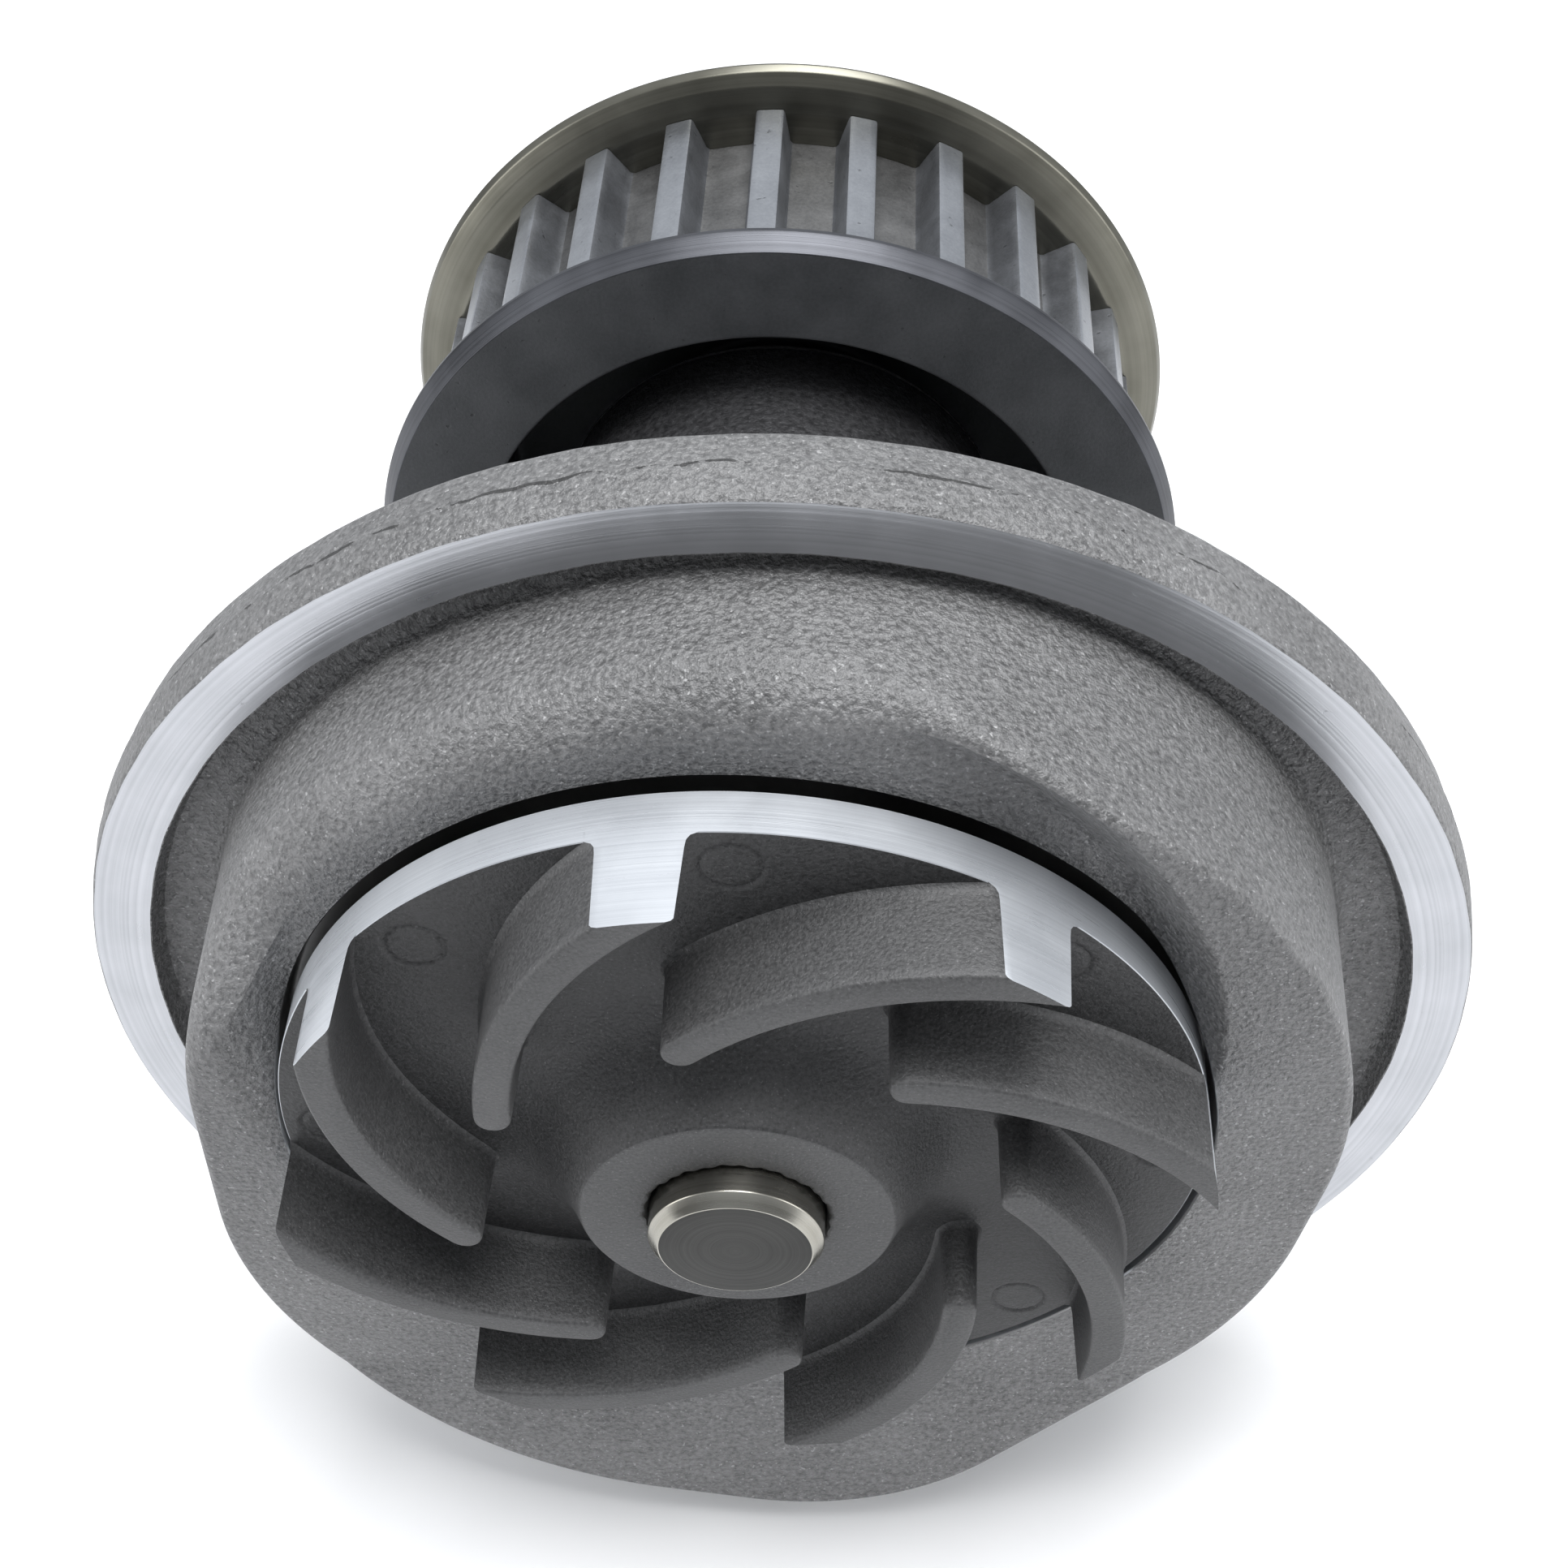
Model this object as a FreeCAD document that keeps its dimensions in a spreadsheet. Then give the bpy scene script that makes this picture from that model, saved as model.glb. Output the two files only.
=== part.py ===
"""Water pump driven by a toothed belt: parametric FreeCAD model in millimetres.

The pump axis is the Y axis. y = 0 is the plane of the machined flange ring, the impeller is on
the -Y side, the belt sprocket on the +Y side, and +Z is up. Each sub-part is one object of the
document, bound to the Dimensions sheet, and is written to parts/LABEL.step.
"""
import FreeCAD, Part
import math
import os
import Sketcher

V = FreeCAD.Vector
doc = FreeCAD.newDocument("WaterPump")

# ---------------------------------------------------------------- driving dimensions
DIMENSIONS = [
    # shaft and hub
    ("shaft_end_y", -23.3, "impeller end of the shaft"),
    ("shaft_step_y", 4.6, "where the thin end meets the bearing journal"),
    ("shaft_tail_y", 68.4, "sprocket end of the shaft"),
    ("thin_shaft_radius", 6.0, "impeller end"),
    ("journal_radius", 8.0, "bearing journal, also the sprocket seat"),
    # impeller
    ("hub_face_y", -20.8, "flat front face of the hub"),
    ("hub_face_radius", 10.8, "edge of that face"),
    ("vane_tip_y", -21.1, "front edges of the vanes"),
    ("disc_front_y", -14.2, "front of the impeller disc"),
    ("disc_back_y", -10.8, "back of the impeller disc"),
    ("impeller_radius", 32.25, "turned outside of disc and vanes"),
    ("vane_count", 8, "number of vanes"),
    ("vane_tip_width", 2.45, "vane thickness at its front edge"),
    ("vane_root_width", 2.75, "vane thickness where it meets the disc"),
    # casting
    ("body_face_y", -14.3, "front face of the raised body"),
    ("shelf_y", -10.1, "floor of the outlet scoop"),
    ("recess_floor_y", -8.0, "floor of the impeller recess"),
    ("recess_radius", 32.75, "bored wall of the impeller recess"),
    ("channel_floor_y", 1.9, "floor of the channel inside the ring"),
    ("flange_back_y", 6.5, "back of the flange plate"),
    ("ring_outer_radius", 50.9, "machined ring, outer edge"),
    ("ring_inner_radius", 46.7, "machined ring, inner edge"),
    ("rim_bulge", 0.45, "draft of the cast rim up to its parting line"),
    ("ring_offset_x", 1.6, "ring centre from the pump axis"),
    ("ring_offset_z", -4.9, "ring centre from the pump axis"),
    ("neck_radius", 19.0, "bearing neck"),
    ("neck_end_y", 51.5, "free end of the neck"),
    # shaft seal and bearing
    ("seal_bore_radius", 16.0, "seat of the seal cup"),
    ("seal_face_y", -4.35, "running face of the ceramic ring"),
    ("chamber_start_y", 4.0, "drain chamber behind the seal"),
    ("chamber_radius", 13.2, "drain chamber"),
    ("bearing_start_y", 11.0, "impeller end of the bearing"),
    ("bearing_end_y", 50.0, "sprocket end of the bearing"),
    ("bearing_radius", 15.0, "outside of the bearing"),
    ("bearing_inner_radius", 11.6, "inside of the bearing's outer ring"),
    ("ball_radius", 2.5, "bearing balls"),
    ("ball_circle_radius", 9.75, "circle through the ball centres"),
    ("groove_radius", 2.58, "cross-section of the ball grooves"),
    ("ball_count", 8, "balls in each row"),
    ("front_row_y", 19.5, "ball row at the impeller end"),
    ("rear_row_y", 41.5, "ball row at the sprocket end"),
    ("weep_hole_y", 8.3, "drain hole through the neck root"),
    ("weep_hole_radius", 2.0, "drain hole"),
    # sprocket
    ("tooth_count", 25, "teeth of the belt sprocket"),
    ("belt_pitch", 8.0, "tooth pitch of the belt"),
    ("tooth_tip_radius", 31.29, "tops of the teeth"),
    ("tooth_height", 3.2, "depth of a groove between teeth"),
    ("groove_top_width", 5.55, "groove width at the tooth tops"),
    ("groove_floor_width", 3.9, "groove width at its floor"),
    ("sprocket_face_y", 43.5, "flat face of the near flange"),
    ("near_flange_radius", 34.2, "near flange"),
    ("sprocket_recess_radius", 25.35, "recess around the neck"),
    ("tooth_start_y", 45.9, "belt side of the near flange"),
    ("tooth_end_y", 66.9, "belt side of the far flange"),
    ("web_y", 60.0, "floor of the recess around the neck"),
    ("far_flange_radius", 34.5, "rolled lip of the far flange"),
    ("far_flange_thickness", 1.0, "sheet thickness of the far flange"),
    ("spigot_radius", 24.0, "step that centres the far flange"),
]

sheet = doc.addObject("Spreadsheet::Sheet", "Dimensions")
for row, (alias, value, note) in enumerate(DIMENSIONS, start=1):
    sheet.set("A%d" % row, str(value))
    sheet.setAlias("A%d" % row, alias)
    sheet.set("B%d" % row, note)
doc.recompute()

ALIASES = sorted((d[0] for d in DIMENSIONS), key=len, reverse=True)
PARTS = []          # the finished sub-parts, in the order they are made
TURN_TO_Y = FreeCAD.Rotation(V(1, 0, 0), -90)      # a primitive's own Z becomes +Y
TURN_TO_MINUS_Y = FreeCAD.Rotation(V(1, 0, 0), 90)


# ---------------------------------------------------------------- helpers
def size(expression):
    """Value of an expression of sheet aliases."""
    return float(sheet.evalExpression(expression))


def bound(expression):
    """The same expression, spelled for an object other than the sheet."""
    marked = expression
    for number, alias in enumerate(ALIASES):
        marked = marked.replace(alias, "#%03d" % number)
    for number, alias in enumerate(ALIASES):
        marked = marked.replace("#%03d" % number, "Dimensions." + alias)
    return marked


def finish(obj, label):
    """Give a finished sub-part its own label and list it for export."""
    obj.Label = label
    PARTS.append(obj)
    return obj


def place_on_axis(obj, y, x="0", z="0", rotation=TURN_TO_Y):
    """Put an object's own origin at (x, y, z) and turn its Z along the pump axis."""
    obj.Placement = FreeCAD.Placement(V(size(x), size(y), size(z)), rotation)
    for name, expression in (("x", x), ("y", y), ("z", z)):
        obj.setExpression("Placement.Base." + name, bound(expression))


def cylinder(name, radius, start, end, x="0", z="0"):
    """Cylinder along the pump axis from y = start to y = end."""
    obj = doc.addObject("Part::Cylinder", name)
    obj.setExpression("Radius", bound(radius))
    obj.setExpression("Height", bound("(%s) - (%s)" % (end, start)))
    place_on_axis(obj, start, x, z)
    return obj


def fused(name, pieces):
    obj = doc.addObject("Part::MultiFuse", name)
    obj.Shapes = pieces
    return obj


def cut(name, base, tool):
    obj = doc.addObject("Part::Cut", name)
    obj.Base = base
    obj.Tool = tool
    return obj


def group(name, pieces):
    obj = doc.addObject("Part::Compound", name)
    obj.Links = pieces
    return obj


def origin_plane(body, role):
    return [f for f in body.Origin.OriginFeatures if f.Role == role][0]


def polygon_sketch(body, name, role, points):
    """Closed outline of straight sides on an origin plane, each corner tied to the sheet."""
    sketch = body.newObject("Sketcher::SketchObject", name)
    sketch.AttachmentSupport = [(origin_plane(body, role), "")]
    sketch.MapMode = "FlatFace"
    corners = [(size(a), size(b)) for a, b in points]
    count = len(corners)
    for i in range(count):
        start = corners[i]
        end = corners[(i + 1) % count]
        sketch.addGeometry(Part.LineSegment(V(start[0], start[1], 0), V(end[0], end[1], 0)), False)
    for i in range(count):
        sketch.addConstraint(Sketcher.Constraint("Coincident", i, 2, (i + 1) % count, 1))
    for i, (a, b) in enumerate(points):
        for kind, expression, value in (("DistanceX", a, corners[i][0]), ("DistanceY", b, corners[i][1])):
            index = sketch.addConstraint(Sketcher.Constraint(kind, -1, 1, i, 1, value))
            label = "%s_%d" % (kind, i)
            sketch.renameConstraint(index, label)
            sketch.setExpression("Constraints." + label, bound(expression))
    return sketch


def turned(name, points):
    """Body of revolution about the pump axis from (radius, y) corners."""
    body = doc.addObject("PartDesign::Body", name)
    sketch = polygon_sketch(body, name + "_profile", "XY_Plane", points)
    turn = body.newObject("PartDesign::Revolution", name + "_turn")
    turn.Profile = sketch
    turn.ReferenceAxis = (sketch, ["V_Axis"])
    turn.Angle = 360
    body.Tip = turn
    sketch.Visibility = False
    return body


def ring_at(y, radius_a, radius_b, start, end):
    """Four corners of a plain ring section."""
    return [(radius_a, y + start), (radius_b, y + start), (radius_b, y + end), (radius_a, y + end)]


def near(edge, **ranges):
    """True if every point of the edge is inside the given x, y, z or radius ranges."""
    for step in range(5):
        first, last = edge.FirstParameter, edge.LastParameter
        point = edge.valueAt(first + (last - first) * step / 4.0)
        values = {"x": point.x, "y": point.y, "z": point.z, "r": math.hypot(point.x, point.z)}
        if any(not low <= values[key] <= high for key, (low, high) in ranges.items()):
            return False
    return True


def rounded(name, base, radius, test):
    """Fillet every edge of base that passes the test."""
    doc.recompute()
    obj = doc.addObject("Part::Fillet", name)
    obj.Base = base
    chosen = [i for i, edge in enumerate(base.Shape.Edges, start=1) if test(edge)]
    obj.Edges = [(i, radius, radius) for i in chosen]
    print(name, "rounds", len(chosen), "edges")
    return obj


# ---------------------------------------------------------------- shaft and bearing
def make_shaft():
    """Stepped shaft with two ball grooves ground into the journal."""
    chamfer = "0.8"
    points = [
        ("0", "shaft_end_y"),
        ("thin_shaft_radius - %s" % chamfer, "shaft_end_y"),
        ("thin_shaft_radius", "shaft_end_y + %s" % chamfer),
        ("thin_shaft_radius", "shaft_step_y"),
        ("journal_radius - 0.5", "shaft_step_y"),
        ("journal_radius", "shaft_step_y + 0.5"),
        ("journal_radius", "shaft_tail_y - 0.7"),
        ("journal_radius - 0.7", "shaft_tail_y"),
        ("0", "shaft_tail_y"),
    ]
    blank = turned("shaft_blank", points)
    grooves = group("shaft_grooves", [ball_groove("shaft_groove_front", "front_row_y"),
                                      ball_groove("shaft_groove_rear", "rear_row_y")])
    finish(cut("shaft", blank, grooves), "shaft")


def ball_groove(name, row_y):
    """Torus that the balls of one row run in."""
    torus = doc.addObject("Part::Torus", name)
    torus.setExpression("Radius1", bound("ball_circle_radius"))
    torus.setExpression("Radius2", bound("groove_radius"))
    place_on_axis(torus, row_y)
    return torus


def make_bearing_outer_ring():
    points = [
        ("bearing_radius - 0.6", "bearing_start_y"),
        ("bearing_radius", "bearing_start_y + 0.6"),
        ("bearing_radius", "bearing_end_y - 0.6"),
        ("bearing_radius - 0.6", "bearing_end_y"),
        ("bearing_inner_radius + 1.4", "bearing_end_y"),
        ("bearing_inner_radius + 1.4", "bearing_end_y - 2.4"),
        ("bearing_inner_radius", "bearing_end_y - 2.4"),
        ("bearing_inner_radius", "bearing_start_y + 2.4"),
        ("bearing_inner_radius + 1.4", "bearing_start_y + 2.4"),
        ("bearing_inner_radius + 1.4", "bearing_start_y"),
    ]
    blank = turned("outer_ring_blank", points)
    grooves = group("outer_ring_grooves", [ball_groove("ring_groove_front", "front_row_y"),
                                           ball_groove("ring_groove_rear", "rear_row_y")])
    finish(cut("bearing_outer_ring", blank, grooves), "bearing_outer_ring")


def make_bearing_seal(label, start, direction):
    """Lip seal at one end of the bearing; its lip clears the journal by a running fit."""
    y_out = "%s + %s * 0.3" % (start, direction)
    y_in = "%s + %s * 2.3" % (start, direction)
    y_lip = "%s + %s * 1.2" % (start, direction)
    points = [
        ("bearing_inner_radius + 1.4", y_out),
        ("bearing_inner_radius + 1.4", y_in),
        ("bearing_inner_radius + 0.3", y_in),
        ("bearing_inner_radius - 0.6", y_lip),
        ("journal_radius + 1.2", y_lip),
        ("journal_radius + 0.06", y_in),
        ("journal_radius + 0.06", y_out),
    ]
    finish(turned(label, points), label)


def ball_places(row_y):
    count = int(size("ball_count"))
    for index in range(count):
        angle = 360.0 * index / count
        yield index, angle, row_y


def make_ball_row(label, row_y):
    balls = []
    for index, angle, y in ball_places(row_y):
        ball = doc.addObject("Part::Sphere", "%s_%d" % (label, index))
        ball.setExpression("Radius", bound("ball_radius"))
        x = "ball_circle_radius * %.6f" % math.cos(math.radians(angle))
        z = "ball_circle_radius * %.6f" % math.sin(math.radians(angle))
        place_on_axis(ball, y, x, z)
        balls.append(ball)
    finish(group(label, balls), label)


def make_cage(label, row_y, side):
    """Crown cage: a ring beside the balls with posts that reach between them."""
    back = "%s + (%d) * 3.6" % (row_y, side)
    front = "%s - (%d) * 1.5" % (row_y, side)
    points = [
        ("journal_radius + 0.5", back),
        ("bearing_inner_radius - 0.5", back),
        ("bearing_inner_radius - 0.5", front),
        ("journal_radius + 0.5", front),
    ]
    blank = turned(label + "_blank", points)
    pockets = []
    for index, angle, y in ball_places(row_y):
        pocket = doc.addObject("Part::Sphere", "%s_pocket_%d" % (label, index))
        pocket.setExpression("Radius", bound("ball_radius + 0.15"))
        x = "ball_circle_radius * %.6f" % math.cos(math.radians(angle))
        z = "ball_circle_radius * %.6f" % math.sin(math.radians(angle))
        place_on_axis(pocket, y, x, z)
        pockets.append(pocket)
    finish(cut(label, blank, group(label + "_pockets", pockets)), label)


# ---------------------------------------------------------------- shaft seal
def make_shaft_seal():
    """Face seal: a spring-loaded carbon ring held by the body runs on a ceramic ring on the shaft."""
    seat = "disc_back_y + 1.6"
    face = "seal_face_y"
    finish(turned("seal_seat_sleeve", [
        ("thin_shaft_radius", seat),
        ("13.2", seat),
        ("13.2", seat + " + 0.6"),
        ("thin_shaft_radius + 0.6", seat + " + 0.6"),
        ("thin_shaft_radius + 0.6", "1.5"),
        ("thin_shaft_radius", "1.5"),
    ]), "seal_seat_sleeve")
    finish(turned("seal_seat_rubber", [
        ("thin_shaft_radius + 0.6", seat + " + 0.6"),
        ("12.6", seat + " + 0.6"),
        ("12.6", face + " - 1.2"),
        ("11.6", face + " - 1.2"),
        ("11.6", seat + " + 1.6"),
        ("thin_shaft_radius + 0.6", seat + " + 1.6"),
    ]), "seal_seat_rubber")
    finish(turned("seal_ceramic_ring", [
        ("7.1", seat + " + 1.6"),
        ("11.6", seat + " + 1.6"),
        ("11.6", face),
        ("7.1", face),
    ]), "seal_ceramic_ring")
    finish(turned("seal_carbon_ring", [
        ("7.6", face + " + 0.05"),
        ("9.6", face + " + 0.05"),
        ("9.6", face + " + 1.2"),
        ("10.8", face + " + 1.2"),
        ("10.8", face + " + 3.8"),
        ("7.6", face + " + 3.8"),
    ]), "seal_carbon_ring")
    finish(turned("seal_bellows", [
        ("10.8", face + " + 1.6"),
        ("14.4", face + " + 1.6"),
        ("14.4", face + " + 2.4"),
        ("11.8", face + " + 2.4"),
        ("11.8", face + " + 4.4"),
        ("9.6", face + " + 5.8"),
        ("9.6", "chamber_start_y - 1.8"),
        ("15.2", "chamber_start_y - 1.8"),
        ("15.2", "chamber_start_y - 0.8"),
        ("8.6", "chamber_start_y - 0.8"),
        ("8.6", face + " + 3.8"),
        ("10.8", face + " + 3.8"),
    ]), "seal_bellows")
    finish(turned("seal_cup", [
        ("15.2", "recess_floor_y - 0.8"),
        ("18.6", "recess_floor_y - 0.8"),
        ("18.6", "recess_floor_y"),
        ("seal_bore_radius", "recess_floor_y"),
        ("seal_bore_radius", "chamber_start_y"),
        ("8.2", "chamber_start_y"),
        ("8.2", "chamber_start_y - 0.8"),
        ("15.2", "chamber_start_y - 0.8"),
    ]), "seal_cup")
    finish(make_spring(face + " + 2.4", "chamber_start_y - 1.8"), "seal_spring")


def make_spring(shoulder_y, foot_y):
    """Round-wire compression spring between the bellows' shoulder and its foot."""
    wire_radius = 0.55
    coil_radius = 13.4
    turns = 2.0
    low = size(shoulder_y) + wire_radius + 0.02
    high = size(foot_y) - wire_radius - 0.02
    helix = Part.makeHelix((high - low) / turns, high - low, coil_radius)
    section = Part.Wire(Part.makeCircle(wire_radius, V(coil_radius, 0, 0), V(0, 1, 0)))
    spring = doc.addObject("Part::Feature", "seal_spring")
    spring.Shape = Part.Wire(helix.Edges).makePipeShell([section], True, True)
    spring.Placement = FreeCAD.Placement(V(0, low, 0), TURN_TO_Y)
    return spring


def make_slinger():
    """Rubber ring on the shaft that throws leaked coolant out to the weep hole."""
    finish(turned("slinger", [
        ("journal_radius", "chamber_start_y + 2.4"),
        ("journal_radius + 2.0", "chamber_start_y + 2.4"),
        ("journal_radius + 4.2", "chamber_start_y + 3.4"),
        ("journal_radius + 4.2", "chamber_start_y + 4.2"),
        ("journal_radius + 2.0", "chamber_start_y + 4.6"),
        ("journal_radius", "chamber_start_y + 4.6"),
    ]), "slinger")


# ---------------------------------------------------------------- impeller
def circle_through(a, b, c):
    """Centre and radius of the circle through three points of a plane."""
    circle = Part.Arc(a, b, c).toShape().Curve
    return circle.Center, circle.Radius


def vane_outline(width, y):
    """Closed wire of one vane in the plane y: two concentric arcs, a round inner end."""
    start_angle = math.radians(142.3)
    middle_angle = start_angle - math.radians(21.3)
    outer_angle = start_angle - math.radians(45.9)
    inner_radius = 19.2
    middle_radius = 24.9
    outer_radius = size("impeller_radius") + 1.5

    def at(radius, angle):
        return V(radius * math.cos(angle), y, radius * math.sin(angle))

    inner = at(inner_radius, start_angle)
    middle = at(middle_radius, middle_angle)
    outer = at(outer_radius, outer_angle)
    centre, radius = circle_through(inner, middle, outer)
    half = width / 2.0

    def offset(point, amount):
        direction = (point - centre).normalize()
        return centre + direction * (radius + amount)

    along = (middle - inner).cross(V(0, 1, 0)).cross(V(0, 1, 0)).normalize()
    tangent = (inner - centre).cross(V(0, 1, 0)).normalize()
    if tangent.dot(along) < 0:
        tangent = tangent * -1
    nose = inner + tangent * half
    edges = [
        Part.Arc(offset(inner, half), offset(middle, half), offset(outer, half)).toShape(),
        Part.LineSegment(offset(outer, half), offset(outer, -half)).toShape(),
        Part.Arc(offset(outer, -half), offset(middle, -half), offset(inner, -half)).toShape(),
        Part.Arc(offset(inner, -half), nose, offset(inner, half)).toShape(),
    ]
    return Part.Wire(edges)


def make_impeller():
    """Open impeller: a dished disc with a hub, and swept vanes cast on its front."""
    disc = turned("impeller_disc", [
        ("thin_shaft_radius", "hub_face_y + 0.5"),
        ("thin_shaft_radius + 0.5", "hub_face_y"),
        ("hub_face_radius", "hub_face_y"),
        ("hub_face_radius + 1.5", "hub_face_y + 2.9"),
        ("hub_face_radius + 3.6", "disc_front_y - 1.4"),
        ("hub_face_radius + 6.6", "disc_front_y - 0.25"),
        ("hub_face_radius + 11.0", "disc_front_y"),
        ("impeller_radius", "disc_front_y"),
        ("impeller_radius", "disc_back_y"),
        ("12.0", "disc_back_y"),
        ("11.0", "disc_back_y + 1.6"),
        ("thin_shaft_radius", "disc_back_y + 1.6"),
    ])
    hidden_depth = 1.2
    root_y = size("disc_front_y") + hidden_depth
    tip_wire = vane_outline(size("vane_tip_width"), size("vane_tip_y"))
    root_wire = vane_outline(size("vane_root_width"), root_y)
    vane_shape = Part.makeLoft([tip_wire, root_wire], True, True)
    vanes = []
    count = int(size("vane_count"))
    for index in range(count):
        vane = doc.addObject("Part::Feature", "vane_%d" % index)
        vane.Shape = vane_shape
        vane.Placement = FreeCAD.Placement(V(0, 0, 0), FreeCAD.Rotation(V(0, 1, 0), 360.0 * index / count))
        vanes.append(vane)
    envelope = cylinder("vane_envelope", "impeller_radius", "vane_tip_y - 1", "disc_back_y")
    trimmed = doc.addObject("Part::MultiCommon", "vanes_turned")
    trimmed.Shapes = [group("vanes", vanes), envelope]
    rough = fused("impeller_rough", [disc, trimmed])
    finish(cut("impeller", rough, ejector_marks()), "impeller")


def ejector_marks():
    """Shallow round marks that the mould's ejector pins leave near the rim."""
    marks = []
    count = int(size("vane_count"))
    circle_radius = size("impeller_radius") * 0.9
    for index in range(count):
        angle = math.radians(88.0 + 360.0 * index / count)
        mark = doc.addObject("Part::Cylinder", "ejector_mark_%d" % index)
        mark.Radius = 1.9
        mark.Height = 1.0
        x = "%.5f" % (circle_radius * math.cos(angle))
        z = "%.5f" % (circle_radius * math.sin(angle))
        place_on_axis(mark, "disc_front_y - 0.85", x, z)
        marks.append(mark)
    return group("ejector_marks", marks)


# ---------------------------------------------------------------- body casting
BODY_CIRCLES = [
    # centre x, centre z, radius of the circles whose outer tangents outline the raised body
    (0.0, 0.0, 38.9),
    (2.7, 0.6, 39.2),
    (0.54, -6.34, 39.8),
    (2.06, -28.98, 22.5),
    (-2.54, -13.37, 37.0),
]


def belt_wire(circles, y, growth):
    """Wire round the outside of the circles, counterclockwise as seen from +Y's far end."""
    count = len(circles)
    grown = [(x, z, radius + growth) for x, z, radius in circles]
    tangents = []
    for i in range(count):
        ax, az, ar = grown[i]
        bx, bz, br = grown[(i + 1) % count]
        dx, dz = bx - ax, bz - az
        span = math.hypot(dx, dz)
        heading = math.atan2(dz, dx)
        side = heading + math.acos(max(-1.0, min(1.0, (ar - br) / span)))
        tangents.append(side)
    edges = []
    for i in range(count):
        cx, cz, cr = grown[i]
        start, end = tangents[i - 1], tangents[i]
        while end > start:
            end -= 2 * math.pi
        while start - end > 2 * math.pi:
            end += 2 * math.pi
        middle = (start + end) / 2.0

        def rim(angle):
            return V(cx + cr * math.cos(angle), y, cz + cr * math.sin(angle))

        edges.append(Part.Arc(rim(start), rim(middle), rim(end)).toShape())
        nx, nz, nr = grown[(i + 1) % count]
        next_start = V(nx + nr * math.cos(end), y, nz + nr * math.sin(end))
        edges.append(Part.LineSegment(rim(end), next_start).toShape())
    return Part.Wire(edges)


def make_raised_body():
    """Raised part of the casting: outlined by the belt wire, with draft towards the front."""
    front = belt_wire(BODY_CIRCLES, size("body_face_y") - 4.0, -0.35)
    root = belt_wire(BODY_CIRCLES, size("channel_floor_y") + 1.0, 0.45)
    raised = doc.addObject("Part::Feature", "raised_block")
    raised.Shape = Part.makeLoft([front, root], True, True)
    return raised


def front_trim():
    """Everything in front of the face, which leans forward a little in the lower lobe."""
    face = size("body_face_y")
    bend_z, foot_z = -32.4, -56.0
    lean = 0.128
    corners = [(60.0, face), (bend_z, face), (foot_z, face - lean * (bend_z - foot_z)),
               (foot_z, face - 20.0), (60.0, face - 20.0)]
    half_width = 60.0
    wire = Part.makePolygon([V(-half_width, y, z) for z, y in corners + corners[:1]])
    trim = doc.addObject("Part::Feature", "front_trim")
    trim.Shape = Part.Face(wire).extrude(V(2 * half_width, 0, 0))
    return trim


def outlet_scoop():
    """Round scoop with sloping walls that the impeller delivers into, open at the top."""
    scoop = doc.addObject("Part::Cone", "outlet_scoop")
    scoop.Radius1 = 29.7
    scoop.Radius2 = 39.5
    scoop.Height = 11.0
    place_on_axis(scoop, "shelf_y", "-1.1", "10.3", TURN_TO_MINUS_Y)
    return scoop


def make_flange():
    """Flange plate and ring, turned about the ring's own axis, beside the pump axis."""
    middle = "flange_back_y / 2"
    flange = turned("flange_turned", [
        ("0", "channel_floor_y"),
        ("ring_inner_radius - 0.3", "channel_floor_y"),
        ("ring_inner_radius", "0"),
        ("ring_outer_radius", "0"),
        ("ring_outer_radius + rim_bulge", middle),
        ("ring_outer_radius + 0.1", "flange_back_y - 0.5"),
        ("ring_outer_radius - 0.5", "flange_back_y"),
        ("0", "flange_back_y"),
    ])
    flange.setExpression("Placement.Base.x", bound("ring_offset_x"))
    flange.setExpression("Placement.Base.z", bound("ring_offset_z"))
    return flange


def index_flat():
    """Slab that leaves a short flat on the flange's rim."""
    angle = 47.0
    slab = doc.addObject("Part::Box", "index_flat")
    slab.Length = 30
    slab.Width = 40
    slab.Height = 10
    distance = size("ring_outer_radius") - 0.05
    turn = FreeCAD.Rotation(V(0, 1, 0), 90.0 - angle)
    base = turn.multVec(V(-15.0, -10.0, distance)) + V(size("ring_offset_x"), 0, size("ring_offset_z"))
    slab.Placement = FreeCAD.Placement(base, turn)
    return slab


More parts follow.
